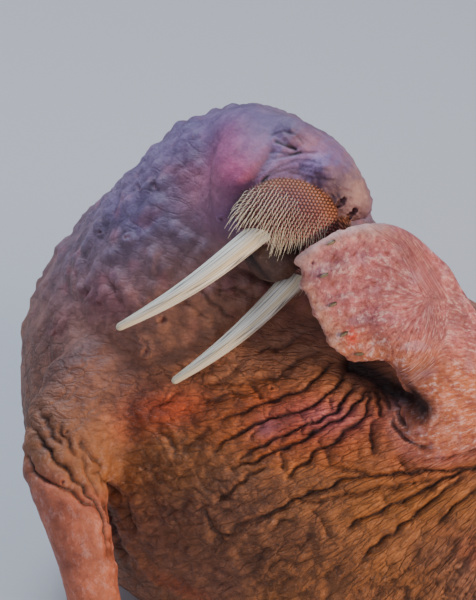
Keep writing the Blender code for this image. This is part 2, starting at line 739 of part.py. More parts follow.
def bristles(side):
    """The bristles of one whisker pad as closed tapering rods, in rows across the pad."""
    generator = np.random.default_rng(12 + side)
    axes = pad_axes(side)
    centre = np.array(mirrored(PAD_CENTRE, side))
    rods = []
    for row in range(ROWS):
        across = np.interp(row, (0, ROWS - 1), ROW_SPREAD)
        for place in range(BRISTLES_A_ROW):
            along = np.interp(place + 0.5 * (row % 2), (0, BRISTLES_A_ROW), BRISTLE_SPREAD)
            along += generator.uniform(-0.03, 0.03)
            if along ** 2 + across ** 2 > PAD_EDGE:
                continue
            local = np.array([along, across, math.sqrt(1 - along ** 2 - across ** 2)])
            root = settle(core, on_head(centre + (local * PAD_RADII) @ axes)[None])[0]
            outward = unit((local / PAD_RADII) @ axes) @ HEAD_AXES
            droop = unit(np.array(BRISTLE_DROOP) @ axes + 0.1 * generator.normal(size=3)) @ HEAD_AXES
            longer = np.clip((along + 0.7) / 1.5, 0, 1) * np.clip((0.9 - across) / 1.5, 0.25, 1)
            length = np.interp(longer, (0, 1), BRISTLE_LENGTH) * generator.uniform(0.85, 1.15)
            line = []
            for part in (-BRISTLE_SINK / length, 0.0, 0.5, 1.0):
                lean = 0.75 * max(part, 0.0)
                aim = outward * (1 - lean) + droop * lean
                line.append((*(root + aim * length * part), BRISTLE_RADIUS * (1 - lean)))
            tip = np.array(line[-1][:3])
            if all((tip - place) @ way < -BRISTLE_CLEAR for place, way in HEAD_BOX[2]):
                rods.append(tapered(line, 3))
    return rods


def nails(digits, radius, field, up):
    """One small nail on the back of each digit, set well behind its tip."""
    found = []
    for digit in digits:
        line = curve_through(digit, 8)
        spot, tip = line[int(len(line) * NAIL_SPOT)], line[-1]
        ahead = unit(tip - spot)
        root = settle(field, (spot + up * radius)[None])[0]
        rows = [(*(root + ahead * far + up * rise), NAIL_RADIUS * share) for far, rise, share in NAIL_ROWS]
        found.append(tapered(rows, 6))
    return found


def flipped(plane):
    """The same plane seen from its other side."""
    return plane[0], -np.asarray(plane[1])


# Planes that part the limbs from the trunk, each a point and the way out of the limb
HEAD_BOX = (on_head((-0.05, -0.05, 0.02)), 0.42, [
    (on_head((-0.25, 0, 0)), -FORWARD),
    (on_head((0, 0.120, -0.123)), 0.69 * LEFT - 0.71 * CROWN),
])
SHOULDER_AIM = from_view(0.22, 0.51, 0.84)
LEFT_SHOULDER = raised(0.30, -0.36, -0.03) + 0.455 * SHOULDER_AIM
LEFT_WRIST = (raised(0.395, -0.005, 0.445), unit(from_view(0.80, -0.60, -0.10)))
LEFT_HAND_BOX = ((0.28, -0.40, 0.97), 0.20, [LEFT_WRIST])
LEFT_FORE_BOX = ((0.455, -0.42, 0.90), 0.20, [(LEFT_SHOULDER, -SHOULDER_AIM)])
LEFT_ARM_BOX = (*LEFT_FORE_BOX[:2], LEFT_FORE_BOX[2] + [flipped(LEFT_WRIST)])
RIGHT_AIM = unit((-0.64, -0.76, -0.12))
RIGHT_SHOULDER = np.array([0.0, 0.06, 0.545]) + 0.480 * RIGHT_AIM
RIGHT_WRIST = (np.array([-0.305, -0.500, 0.105]), unit((0.35, 0.25, 0.90)))
RIGHT_HAND_BOX = ((-0.45, -0.60, 0.16), 0.30, [RIGHT_WRIST])
RIGHT_FORE_BOX = ((-0.44, -0.57, 0.28), 0.32, [(RIGHT_SHOULDER, -RIGHT_AIM)])
RIGHT_ARM_BOX = (*RIGHT_FORE_BOX[:2], RIGHT_FORE_BOX[2] + [flipped(RIGHT_WRIST)])
RIGHT_FOOT_BOX = ((1.99, 0.34, 0.10), 0.32, [((1.74, 0.11, 0.13), (-0.76, -0.55, 0.35)),
                                             ((1.80, 0.130, 0.10), (0, -1, 0))])
LEFT_FOOT_BOX = ((1.99, -0.30, 0.10), 0.32, [((1.74, -0.06, 0.14), (-0.86, 0.35, 0.35)),
                                             ((1.80, -0.040, 0.10), (0, 1, 0))])

# Planes across the trunk, each a point and the way towards the tail
NECK_CUT = ((-0.040, 0.055, 0.790), (0.25, 0.17, -0.96))
CHEST_CUT = ((0.680, -0.270, 0.390), (0.99, -0.10, -0.03))
BELLY_CUT = ((1.200, -0.210, 0.340), (0.95, 0.31, -0.10))
TAIL_CUT = ((1.845, 0.045, 0.100), (0.95, 0.10, -0.25))

# The stretch of space, the net's spacing and the share of faces kept for each piece of the surface
TORSO_NET = (((-0.60, -0.90, -0.12), (2.10, 0.68, 1.40)), 0.050, 0.110)
LEFT_FORE_NET = (((0.08, -0.75, 0.60), (0.70, -0.18, 1.12)), 0.0125, 0.048)
RIGHT_FORE_NET = (((-0.74, -0.86, -0.05), (-0.14, -0.20, 0.62)), 0.0125, 0.042)
RIGHT_HIND_NET = (((1.66, 0.04, -0.05), (2.36, 0.70, 0.30)), 0.0155, 0.044)
LEFT_HIND_NET = (((1.66, -0.66, -0.05), (2.36, 0.02, 0.30)), 0.0155, 0.044)
HEAD_NET = (((-0.20, -0.46, 0.80), (0.46, 0.16, 1.34)), 0.0155, 0.068)


def piece_between(source, name, finish, after=None, before=None):
    """The stretch of the trunk behind one plane and ahead of another."""
    shape = source.copy()
    planes = []
    if after is not None:
        planes.append((after[0], -np.asarray(after[1])))
    if before is not None:
        planes.append((before[0], np.asarray(before[1])))
    return add_object(name, trimmed(shape, planes), finish)


def build():
    """Make every sub-part."""
    for thing in list(bpy.data.objects):
        bpy.data.objects.remove(thing)
    violet = material("Neck_skin", (0.30, 0.21, 0.24), 0.62)
    brown = material("Chest_skin", (0.38, 0.20, 0.13), 0.62)
    pink = material("Flipper_skin", (0.52, 0.30, 0.26), 0.58)
    dark = material("Pad_skin", (0.17, 0.10, 0.10), 0.60)
    ivory = material("Tusk_ivory", (0.78, 0.72, 0.56), 0.35)
    wet = material("Eye_dark", (0.03, 0.02, 0.02), 0.10)

    body = add_object("torso", flesh_lump(torso, *TORSO_NET, brown), brown)
    boxes = (HEAD_BOX, LEFT_FORE_BOX, RIGHT_FORE_BOX, RIGHT_FOOT_BOX, LEFT_FOOT_BOX)
    cutters = [wedge(*box, GAP / 2) for box in boxes]
    cutters.append(tapered(tusk_line(1, GAP), TUSK_SIDES))
    combine(body, [add_object("cutter", shape, brown) for shape in cutters], "DIFFERENCE")
    whole = copied(body)
    bpy.data.objects.remove(body)
    piece_between(whole, "neck", violet, before=NECK_CUT)
    piece_between(whole, "chest", brown, after=NECK_CUT, before=CHEST_CUT)
    piece_between(whole, "belly", brown, after=CHEST_CUT, before=BELLY_CUT)
    piece_between(whole, "hips", brown, after=BELLY_CUT, before=TAIL_CUT)
    piece_between(whole, "tail", brown, after=TAIL_CUT)
    whole.free()

    up = np.array([0.0, 0.0, 1.0])
    near = from_view(0, 0, 1)
    fores = (
        ("left", left_fore, LEFT_FORE_NET, LEFT_ARM_BOX, LEFT_HAND_BOX, LEFT_DIGITS, near, pink),
        ("right", right_fore, RIGHT_FORE_NET, RIGHT_ARM_BOX, RIGHT_HAND_BOX, RIGHT_DIGITS, up, brown),
    )
    for word, field, net, arm_box, hand_box, digits, back, finish in fores:
        lump = flesh_lump(field, *net, finish)
        hand = limb_object("hand_" + word, lump.copy(), hand_box, pink)
        limb_object("arm_" + word, lump, arm_box, finish)
        claws = [add_object("nail", shape, dark) for shape in nails(digits, HAND_BACK, field, back)]
        combine(hand, claws, "UNION")

    hinds = (
        ("right", right_hind, RIGHT_HIND_NET, RIGHT_FOOT_BOX, RIGHT_TOES),
        ("left", left_hind, LEFT_HIND_NET, LEFT_FOOT_BOX, LEFT_TOES),
    )
    for word, field, net, box, toes in hinds:
        foot = limb_object("hind_flipper_" + word, flesh_lump(field, *net, pink), box, pink)
        claws = [add_object("nail", shape, dark) for shape in nails(toes, FOOT_BACK, field, up)]
        combine(foot, claws, "UNION")

    skull = add_object("head", trimmed(flesh_lump(core, *HEAD_NET, violet), HEAD_BOX[2]), violet)
    hollows = [ellipsoid(mirrored(NOSTRIL[0], side), NOSTRIL[1], HEAD_AXES) for side in (-1, 1)]
    hollows.append(ellipsoid(*MOUTH, HEAD_AXES))
    combine(skull, [add_object("hollow", shape, dark) for shape in hollows], "DIFFERENCE")
    for side, word in ((-1, "right"), (1, "left")):
        pad = add_object("whisker_pad_" + word, copied(skull), dark)
        combine(pad, [add_object("block", pad_block(side, -GAP / 2), dark)], "INTERSECT")
        rods = [add_object("bristle", shape, dark) for shape in bristles(side)]
        combine(pad, rods, "UNION", "MANIFOLD")
        socket = add_object("socket", tapered(tusk_line(side, GAP), TUSK_SIDES), dark)
        combine(pad, [socket], "DIFFERENCE", "MANIFOLD")
        add_object("tusk_" + word, tapered(tusk_line(side), TUSK_SIDES), ivory)
        eye = ellipsoid(mirrored(EYE_CENTRE, side), [EYE_RADIUS] * 3, HEAD_AXES)
        add_object("eye_" + word, eye, wet)
    openings = [pad_block(side, GAP / 2) for side in (-1, 1)]
    for side in (-1, 1):
        openings.append(tapered(tusk_line(side, GAP), TUSK_SIDES))
        openings.append(ellipsoid(mirrored(EYE_CENTRE, side), [EYE_RADIUS + GAP] * 3, HEAD_AXES))
        openings.append(ellipsoid(mirrored(EYE_SLIT[0], side), EYE_SLIT[1], HEAD_AXES))
    combine(skull, [add_object("opening", shape, dark) for shape in openings], "DIFFERENCE")
    centre_on_floor()


def centre_on_floor():
    """Bring the middle of the whole animal's footprint to the origin."""
    everything = bpy.context.scene.objects
    places = np.array([vert.co for thing in everything for vert in thing.data.vertices])
    low, high = places.min(0), places.max(0)
    shift = Vector((-(low[0] + high[0]) / 2, -(low[1] + high[1]) / 2, -low[2]))
    for thing in everything:
        thing.data.transform(Matrix.Translation(shift))


build()
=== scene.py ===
import itertools
import math

import bpy
import numpy as np
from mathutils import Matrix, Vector


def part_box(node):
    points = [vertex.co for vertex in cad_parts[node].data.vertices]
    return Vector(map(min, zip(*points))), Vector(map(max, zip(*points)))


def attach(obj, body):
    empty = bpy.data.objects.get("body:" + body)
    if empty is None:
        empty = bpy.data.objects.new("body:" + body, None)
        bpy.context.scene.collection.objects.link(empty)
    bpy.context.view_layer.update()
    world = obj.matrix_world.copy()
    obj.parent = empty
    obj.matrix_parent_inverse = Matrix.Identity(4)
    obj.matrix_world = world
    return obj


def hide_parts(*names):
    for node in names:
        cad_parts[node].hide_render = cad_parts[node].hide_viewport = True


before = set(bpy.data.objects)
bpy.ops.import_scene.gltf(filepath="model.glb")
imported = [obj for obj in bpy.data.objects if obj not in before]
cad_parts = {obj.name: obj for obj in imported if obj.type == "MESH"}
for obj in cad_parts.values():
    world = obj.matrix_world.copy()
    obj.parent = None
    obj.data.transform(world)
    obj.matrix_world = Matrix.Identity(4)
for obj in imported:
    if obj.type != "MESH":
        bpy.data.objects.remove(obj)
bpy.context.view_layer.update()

# The view
# The camera stands in front of the chest and looks down at it from far off, so that the animal
# keeps its own proportions. Places that the pose gives as seen are metres to the right, up and
# towards the camera from a point EYE_LEVEL above the floor.
VIEW_TILT = math.radians(30)
EYE_LEVEL = 0.75
VIEW_FAR = 12.0
PIXELS_A_METRE = 466
IMAGE_SIZE = (476, 600)


def unit(vector):
    """The vector divided by its length."""
    vector = np.asarray(vector, float)
    return vector / np.linalg.norm(vector)


def unit_rows(vectors):
    """Each of many vectors divided by its length."""
    return vectors / np.linalg.norm(vectors, axis=-1)[..., None]


def from_view(right, up, near):
    """A direction as seen, in world axes: up leans back and near leans down by the tilt."""
    sine, cosine = math.sin(VIEW_TILT), math.cos(VIEW_TILT)
    return np.array([right, up * sine - near * cosine, up * cosine + near * sine])


def raised(right, up, near):
    """A place as seen, in world axes, above the floor."""
    return from_view(right, up, near) + np.array([0.0, 0.0, EYE_LEVEL])


# The head's place and axes: the point between the nostrils, then forward, left and crown
NOSE = raised(0.221, 0.192, 0.420)
FORWARD = unit(from_view(0.600, -0.429, 0.675))
LEFT = from_view(0.479, -0.483, -0.733)
LEFT = unit(LEFT - FORWARD * (LEFT @ FORWARD))
CROWN = np.cross(FORWARD, LEFT)
HEAD_AXES = np.array([FORWARD, LEFT, CROWN])
EYE_CENTRE = np.array([-0.140, 0.0925, 0.026])


def on_head(point):
    """A point of the head's own axes, in world axes."""
    return NOSE + np.asarray(point, float) @ HEAD_AXES


# The solids stand with the middle of their footprint at the origin. The right eye's ball says how
# far that is from the pose's own frame.
low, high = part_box("eye_right")
HOME = (np.array(low) + np.array(high)) / 2 - on_head(EYE_CENTRE * (1, -1, 1))

camera = bpy.data.objects.new("camera", bpy.data.cameras.new("camera"))
bpy.context.scene.collection.objects.link(camera)
target = Vector(HOME + np.array([0.0, 0.0, EYE_LEVEL]))
away = Vector((0.0, -math.cos(VIEW_TILT), math.sin(VIEW_TILT)))
camera.location = target + away * VIEW_FAR
camera.rotation_euler = away.to_track_quat("Z", "Y").to_euler()
camera.data.sensor_fit = "VERTICAL"
camera.data.angle = 2 * math.atan(IMAGE_SIZE[1] / PIXELS_A_METRE / 2 / VIEW_FAR)
bpy.context.scene.camera = camera

# The studio
# A plain pale floor, with a cool broad light from above and behind, a warm low one from the
# right, and a weak pale one from the front.
FLOOR_HALF = 30.0


def new_finish(name, **values):
    """A material and the sockets of its shader, some of them with plain values."""
    made = bpy.data.materials.new(name)
    made.use_nodes = True
    sockets = made.node_tree.nodes["Principled BSDF"].inputs
    for socket, value in values.items():
        sockets[socket.replace("_", " ")].default_value = value
    return made, sockets


floor_corners = [(FLOOR_HALF * x, FLOOR_HALF * y, 0) for x, y in ((-1, -1), (1, -1), (1, 1), (-1, 1))]
floor_mesh = bpy.data.meshes.new("floor")
floor_mesh.from_pydata(floor_corners, [], [(0, 1, 2, 3)])
floor = bpy.data.objects.new("floor", floor_mesh)
bpy.context.scene.collection.objects.link(floor)
floor_paint, _ = new_finish("floor_paint", Base_Color=(0.56, 0.55, 0.54, 1.0), Roughness=0.85)
floor_mesh.materials.append(floor_paint)

world = bpy.data.worlds.new("studio")
bpy.context.scene.world = world
world.use_nodes = True
world_light = world.node_tree.nodes["Background"].inputs
world_light["Color"].default_value = (0.62, 0.72, 1.0, 1.0)
world_light["Strength"].default_value = 0.32

# Each light: place and aim in metres from the chest, size, power and colour
for name, place, size, power, colour in (
    ("sky", (-1.5, 2.5, 5.5), 2.6, 430, (0.70, 0.82, 1.0)),
    ("low_sun", (5.0, -3.8, 1.6), 1.2, 420, (1.0, 0.74, 0.50)),
    ("front", (-2.5, -5.5, 3.5), 3.0, 80, (0.9, 0.92, 1.0)),
):
    lamp = bpy.data.lights.new(name, "AREA")
    lamp.size = size
    lamp.energy = power
    lamp.color = colour
    light = bpy.data.objects.new(name, lamp)
    light.location = target + Vector(place)
    light.rotation_euler = Vector(place).to_track_quat("Z", "Y").to_euler()
    bpy.context.scene.collection.objects.link(light)

# The form under the hide
# Blubber and muscle as smooth round limbs and bulges, each a distance that is negative inside.
# Trunk rows are x, y, height and radius from nape to tail.
TRUNK = [
    (0.040, -0.006, 1.078, 0.131), (-0.009, 0.023, 0.949, 0.217), (-0.044, 0.015, 0.797, 0.282),
    (-0.011, 0.072, 0.634, 0.349), (-0.054, 0.073, 0.456, 0.411), (0.220, -0.120, 0.425, 0.415),
    (0.470, -0.220, 0.393, 0.396), (0.780, -0.290, 0.385, 0.398), (1.080, -0.250, 0.360, 0.375),
    (1.360, -0.150, 0.315, 0.330), (1.580, -0.050, 0.245, 0.250), (1.740, 0.020, 0.165, 0.165),
    (1.860, 0.050, 0.105, 0.070), (1.960, 0.065, 0.060, 0.020),
]
BACK = [
    (-0.020, 0.130, 0.560, 0.400), (0.160, 0.090, 0.440, 0.350),
    (0.400, 0.000, 0.330, 0.310), (0.660, -0.120, 0.340, 0.330),
]
BREAST = [
    (-0.150, -0.050, 0.290, 0.220), (0.020, -0.100, 0.300, 0.280), (0.260, -0.160, 0.330, 0.310),
]

# Limb rows are x, y, height, half width, half thickness and the way the flat side faces
RIGHT_ARM = [
    (-0.300, -0.190, 0.600, 0.140, 0.090, 0.3, -0.9, 0.2),
    (-0.362, -0.305, 0.520, 0.090, 0.080, 0.3, -0.9, 0.2),
    (-0.326, -0.416, 0.376, 0.061, 0.066, 0.3, -0.9, 0.2),
    (-0.298, -0.475, 0.242, 0.057, 0.056, 0.3, -0.9, 0.2),
    (-0.300, -0.500, 0.130, 0.072, 0.050, -0.4, -0.7, 0.5),
    (-0.345, -0.530, 0.060, 0.085, 0.040, -0.5, -0.3, 0.8),
]
RIGHT_SHIN = [
    (1.660, 0.060, 0.170, 0.110, 0.100, 0, 0, 1),
    (1.770, 0.140, 0.110, 0.080, 0.065, 0, 0, 1),
    (1.860, 0.190, 0.075, 0.070, 0.045, 0, 0, 1),
]
LEFT_SHIN = [
    (1.660, -0.030, 0.190, 0.110, 0.100, 0, 0, 1),
    (1.780, -0.085, 0.125, 0.080, 0.065, 0, 0, 1),
    (1.870, -0.115, 0.080, 0.070, 0.045, 0, 0, 1),
]


def arm_row(seen, width, thickness, facing):
    """A row of the raised forelimb, whose place and facing are given as seen."""
    return (*raised(*seen), width, thickness, *from_view(*facing))


LEFT_ARM = [
    arm_row((0.280, -0.220, 0.060), 0.160, 0.150, (0.3, 0.0, 1.0)),
    arm_row((0.400, -0.280, 0.240), 0.135, 0.115, (0.3, 0.0, 1.0)),
    arm_row((0.455, -0.210, 0.360), 0.116, 0.085, (0.3, 0.0, 0.9)),
    arm_row((0.418, -0.100, 0.420), 0.106, 0.058, (0.3, 0.0, 0.9)),
    arm_row((0.372, -0.010, 0.445), 0.100, 0.040, (0.3, 0.1, 0.9)),
]
LEFT_DIGITS_SEEN = [
    [(0.405, 0.050, 0.440), (0.360, 0.108, 0.468), (0.300, 0.138, 0.488),
     (0.215, 0.128, 0.495), (0.126, 0.080, 0.490)],
    [(0.395, 0.018, 0.448), (0.338, 0.070, 0.475), (0.260, 0.080, 0.490),
     (0.195, 0.058, 0.495), (0.137, 0.031, 0.490)],
    [(0.385, -0.014, 0.450), (0.332, 0.014, 0.472), (0.270, 0.015, 0.483),
     (0.210, -0.003, 0.485), (0.163, -0.026, 0.480)],
    [(0.375, -0.050, 0.445), (0.328, -0.045, 0.462), (0.280, -0.050, 0.468),
     (0.230, -0.065, 0.470), (0.195, -0.084, 0.465)],
    [(0.367, -0.088, 0.435), (0.326, -0.095, 0.447), (0.295, -0.102, 0.452),
     (0.260, -0.110, 0.452), (0.233, -0.113, 0.447)],
]
HAND_RADII = (0.024, 0.021, 0.018, 0.015, 0.011)
HAND_WEB = (0.020, 0.015, 0.0118, 0.0095, 0.008)
FOOT_RADII = (0.034, 0.027, 0.022, 0.018, 0.013)
FOOT_WEB = (0.028, 0.020, 0.0150, 0.0120, 0.0095)

# Digits on the floor: the wrist, then headings in degrees and lengths
RIGHT_HAND = ((-0.345, -0.530, 0.055), (238, 219, 201, 184, 166), (0.31, 0.30, 0.28, 0.25, 0.22))
RIGHT_FOOT = ((1.850, 0.185, 0.075), (76, 60, 45, 29, 12), (0.42, 0.37, 0.34, 0.36, 0.40))
LEFT_FOOT = ((1.860, -0.110, 0.080), (-70, -54, -38, -22, -5), (0.42, 0.37, 0.34, 0.36, 0.40))


def curve_through(stations, steps):
    """Rows on the smooth curve through stations: each run is the cubic whose slopes at its ends
    are half the step from the station before to the one after."""
    rows = np.asarray(stations, float)
    ends = np.concatenate([[2 * rows[0] - rows[1]], rows, [2 * rows[-1] - rows[-2]]])
    part = np.linspace(0.0, 1.0, steps, endpoint=False).reshape((-1,) + (1,) * (rows.ndim - 1))
    runs = []
    for index in range(len(rows) - 1):
        before, start, stop, after = ends[index:index + 4]
        second = 2 * before - 5 * start + 4 * stop - after
        third = 3 * start - before - 3 * stop + after
        runs.append(start + 0.5 * ((stop - before) * part + second * part ** 2 + third * part ** 3))
    return np.concatenate(runs + [rows[-1:]])


def smooth_union(one, other, soften):
    """The smaller of two distances, less a parabola of height soften/4 where they are alike."""
    mix = np.clip(0.5 + 0.5 * (other - one) / soften, 0.0, 1.0)
    return other * (1 - mix) + one * mix - soften * mix * (1 - mix)


def round_limb(points, line):
    """Distance to the nearest point of the centre line, less the radius there."""
    best = np.full(len(points), 9.0)
    for start, stop in zip(line[:-1], line[1:]):
        run = stop[:3] - start[:3]
        part = np.clip((points - start[:3]) @ run / (run @ run), 0.0, 1.0)
        beside = points - start[:3] - part[:, None] * run
        reach = np.sqrt(np.einsum("ij,ij->i", beside, beside))
        np.minimum(best, reach - start[3] - part * (stop[3] - start[3]), out=best)
    return best


def oval(near, slope):
    """Distance to an oval from its level and the level's slope, right to first order."""
    return near * (near - 1) / np.maximum(slope, 1e-6)


def flat_limb(points, line):
    """Distance to a limb whose section is an ellipse turned to its facing."""
    best = np.full(len(points), 9.0)
    for start, stop in zip(line[:-1], line[1:]):
        run = stop[:3] - start[:3]
        part = np.clip((points - start[:3]) @ run / (run @ run), 0.0, 1.0)[:, None]
        row = start + part * (stop - start)
        beside = points - row[:, :3]
        facing = unit_rows(row[:, 5:8])
        height = (beside * facing).sum(1)
        side = np.maximum((beside * beside).sum(1) - height ** 2, 0.0)
        near = np.sqrt(side / row[:, 3] ** 2 + height ** 2 / row[:, 4] ** 2)
        slope = np.sqrt(side / row[:, 3] ** 4 + height ** 2 / row[:, 4] ** 4)
        np.minimum(best, oval(near, slope), out=best)
    return best


def bulge(points, centre, radii, axes=None):
    """Distance to an ellipsoid about a centre."""
    beside = points - np.asarray(centre)
    if axes is not None:
        beside = beside @ np.asarray(axes).T
    radii = np.asarray(radii, float)
    near, slope = (np.sqrt(((beside / radii ** power) ** 2).sum(1)) for power in (1, 2))
    return oval(near, slope)


def web_samples(digits, radii, across=9):
    """Places, facings and half thicknesses on the sheet that the digits' lines span."""
    rows = np.dstack([np.array(digits), np.tile(radii, (len(digits), 1))])
    lines = curve_through(rows.transpose(1, 0, 2), 5)
    grid = curve_through(lines.transpose(1, 0, 2), across - 1).transpose(1, 0, 2)[:-1]
    places = grid[..., :3]
    facing = unit_rows(np.cross(np.gradient(places, axis=0), np.gradient(places, axis=1)))
    return places.reshape(-1, 3), facing.reshape(-1, 3), grid[..., 3].reshape(-1)


def web(points, samples, reach=0.009, block=4000):
    """Distance to a thick sheet: that to the slabs of the nearest four samples, each weighted by
    the inverse cube of how far it is. Points are taken a block at a time, to save memory."""
    places, facings, halves = samples
    best = np.empty(len(points))
    for begin in range(0, len(points), block):
        here = points[begin:begin + block]
        square = (here ** 2).sum(1)[:, None] + (places ** 2).sum(1)[None] - 2 * here @ places.T
        nearest = np.argpartition(square, 4, axis=1)[:, :4]
        total = np.zeros(len(here))
        weight = np.zeros(len(here))
        for column in nearest.T:
            beside = here - places[column]
            height = (beside * facings[column]).sum(1)
            side = np.sqrt(np.maximum((beside ** 2).sum(1) - height ** 2, 0.0))
            side = np.maximum(side - reach, 0.0)
            share = (1e-6 + (beside ** 2).sum(1)) ** -1.5
            total += share * (np.hypot(height, side) - halves[column])
            weight += share
        best[begin:begin + block] = total / weight
    return best


def fan(wrist, headings, lengths, floor_height, spread):
    """Digits that leave a wrist side by side and come down to the floor as the cube of what is
    left of their length."""
    digits = []
    part = np.linspace(0.0, 1.0, 5)[:, None]
    for order, (heading, length) in enumerate(zip(np.radians(headings), lengths)):
        aim = np.array([math.cos(heading), math.sin(heading), 0.0])
        aside = np.array([aim[1], -aim[0], 0.0]) * spread * (order - 2)
        digit = np.array(wrist) + aim * length * part + aside * (1 - part)
        digit[:, 2] = floor_height + (wrist[2] - floor_height) * (1 - part[:, 0]) ** 3
        digits.append(digit)
    return digits


def within(points, low, high, distance, outside=0.3):
    """A distance that is only worked out inside a box, and is a plain large one beyond it."""
    result = np.full(len(points), outside)
    inside = np.flatnonzero(((points > low) & (points < high)).all(1))
    if len(inside):
        result[inside] = distance(points[inside])
    return result


class Limb:
    """A forelimb or hind limb: the arm's rows, the digits, their web, and a box round them all."""

    HAND_MARGIN = 0.09
    LIMB_MARGIN = 0.26
    DIGIT_FILLET = 0.008

    def __init__(self, arm, digits, radii, web_radii, soften):
        self.arm = curve_through(arm, 4)
        self.digits = [np.asarray(digit) for digit in digits]
        self.lines = [curve_through(np.column_stack([digit, radii]), 4) for digit in self.digits]
        self.web = web_samples(self.digits, web_radii)
        self.soften = soften
        places = np.vstack([line[:, :3] for line in self.lines])
        self.hand_low, self.hand_high = places.min(0) - self.HAND_MARGIN, places.max(0) + self.HAND_MARGIN
        places = np.vstack([places, self.arm[:, :3]])
        self.low, self.high = places.min(0) - self.LIMB_MARGIN, places.max(0) + self.LIMB_MARGIN

    def hand(self, points):
        """The web, and each digit filleted into it."""
        result = web(points, self.web)
        for line in self.lines:
            result = smooth_union(result, round_limb(points, line), self.DIGIT_FILLET)
        return result

    def distance(self, points):
        """The hand filleted into the arm."""
        hand = within(points, self.hand_low, self.hand_high, self.hand)
        return smooth_union(flat_limb(points, self.arm), hand, self.soften)

    def join(self, result, points, soften):
        """Fillet the limb into a body."""
        return smooth_union(result, within(points, self.low, self.high, self.distance), soften)


TRUNK_LINE, BACK_LINE, BREAST_LINE = (curve_through(rows, 4) for rows in (TRUNK, BACK, BREAST))
LEFT_FORE = Limb(LEFT_ARM, [[raised(*place) for place in digit] for digit in LEFT_DIGITS_SEEN],
                 HAND_RADII, HAND_WEB, 0.035)
RIGHT_FORE = Limb(RIGHT_ARM, fan(*RIGHT_HAND, 0.008, 0.020), HAND_RADII, HAND_WEB, 0.030)
RIGHT_HIND = Limb(RIGHT_SHIN, fan(*RIGHT_FOOT, 0.009, 0.016), FOOT_RADII, FOOT_WEB, 0.030)
LEFT_HIND = Limb(LEFT_SHIN, fan(*LEFT_FOOT, 0.009, 0.016), FOOT_RADII, FOOT_WEB, 0.030)

# Bulges of the head in its own axes, in metres: centre, radii and how softly each is joined
HEAD_MIDDLE = [
    ((-0.140, 0.0, 0.025), (0.130, 0.112, 0.080), 0.040),
    ((-0.082, 0.0, -0.027), (0.085, 0.073, 0.068), 0.040),
    ((-0.170, 0.0, -0.130), (0.130, 0.095, 0.080), 0.040),
    ((-0.037, 0.0, 0.028), (0.046, 0.102, 0.045), 0.020),
    ((-0.072, 0.0, -0.168), (0.065, 0.056, 0.055), 0.014),
]
CRANIUM = ((-0.230, 0.0, -0.010), (0.170, 0.130, 0.096))
HEAD_SIDES = [
    ((-0.180, 0.080, -0.070), (0.100, 0.070, 0.080), 0.040),
    ((-0.150, 0.088, 0.055), (0.060, 0.036, 0.030), 0.025),
]
PAD_CENTRE = (-0.059, 0.063, -0.090)
PAD_RADII = (0.107, 0.070, 0.069)
PAD_ALONG = (-0.609, 0.530, -0.590)
PAD_OUT = (0.682, 0.730, -0.049)
LIDS = [
    ((-0.140, 0.106, 0.039), (0.027, 0.017, 0.012), 0.005),
    ((-0.140, 0.110, 0.016), (0.026, 0.016, 0.011), 0.005),
]
CHIN = HEAD_MIDDLE[4][:2]
NOSTRIL = ((0.006, 0.025, 0.001), (0.024, 0.0105, 0.0145))
NOSTRIL_RIM = ((-0.006, 0.026, 0.001), (0.020, 0.017, 0.020))
MOUTH = ((-0.036, 0.0, -0.128), (0.030, 0.050, 0.0035))
HEAD_LOW, HEAD_HIGH = np.array([-0.44, -0.28, -0.34]), np.array([0.15, 0.28, 0.25])


def pad_axes():
    """Long axis, height and outward axis of a whisker pad, in the head's axes."""
    along = unit(PAD_ALONG)
    out = np.array(PAD_OUT)
    out = unit(out - along * (out @ along))
    height = np.cross(along, out)
    return np.array([along, height if height[2] > 0 else -height, out])


def with_bulges(result, points, bulges):
    """A form with bulges joined to it one by one, each as softly as its row says."""
    for centre, radii, soften in bulges:
        result = smooth_union(result, bulge(points, centre, radii), soften)
    return result


def head(local):
    """Distance to the head, in its own axes. Its two sides are alike, so left stands for both."""
    result = with_bulges(bulge(local, *CRANIUM), local, HEAD_MIDDLE)
    sides = [local * (1, side, 1) for side in (-1, 1)]
    for there in sides:
        result = with_bulges(result, there, HEAD_SIDES)
        result = smooth_union(result, bulge(there, PAD_CENTRE, PAD_RADII, pad_axes()), 0.010)
        result = with_bulges(result, there, LIDS)
    for there in sides:
        result = smooth_union(result, bulge(there, *NOSTRIL_RIM), 0.008)
        result = -smooth_union(-result, bulge(there, *NOSTRIL), 0.004)
    return -smooth_union(-result, bulge(local, *MOUTH), 0.005)


def head_box(points):
    """The same for places in world axes."""
    local = (points - NOSE) @ HEAD_AXES.T
    return within(local, HEAD_LOW, HEAD_HIGH, head)


def body(points):
    """Distance to the whole animal, in the pose's frame, flat where it bears on the floor."""
    trunk = smooth_union(round_limb(points, TRUNK_LINE), round_limb(points, BACK_LINE), 0.120)
    trunk = smooth_union(trunk, round_limb(points, BREAST_LINE), 0.080)
    result = smooth_union(trunk, head_box(points), 0.040)
    result = RIGHT_FORE.join(result, points, 0.040)
    result = RIGHT_HIND.join(result, points, 0.060)
    result = LEFT_HIND.join(result, points, 0.060)
    result = np.minimum(result, LEFT_FORE.join(trunk, points, 0.070))
    return np.maximum(result, -points[:, 2])


# The hide's surface
# One sheet over the whole animal. The zero of the distance is found on small tetrahedra, thinned,
# and then split again wherever the hide has finer forms.
COARSE = 0.050
SPLIT = 4
CLOSE = 1.6 * COARSE
THINNED = 0.20
BODY_LOW, BODY_HIGH = np.array([-0.75, -0.95, -0.10]), np.array([2.40, 0.80, 1.40])

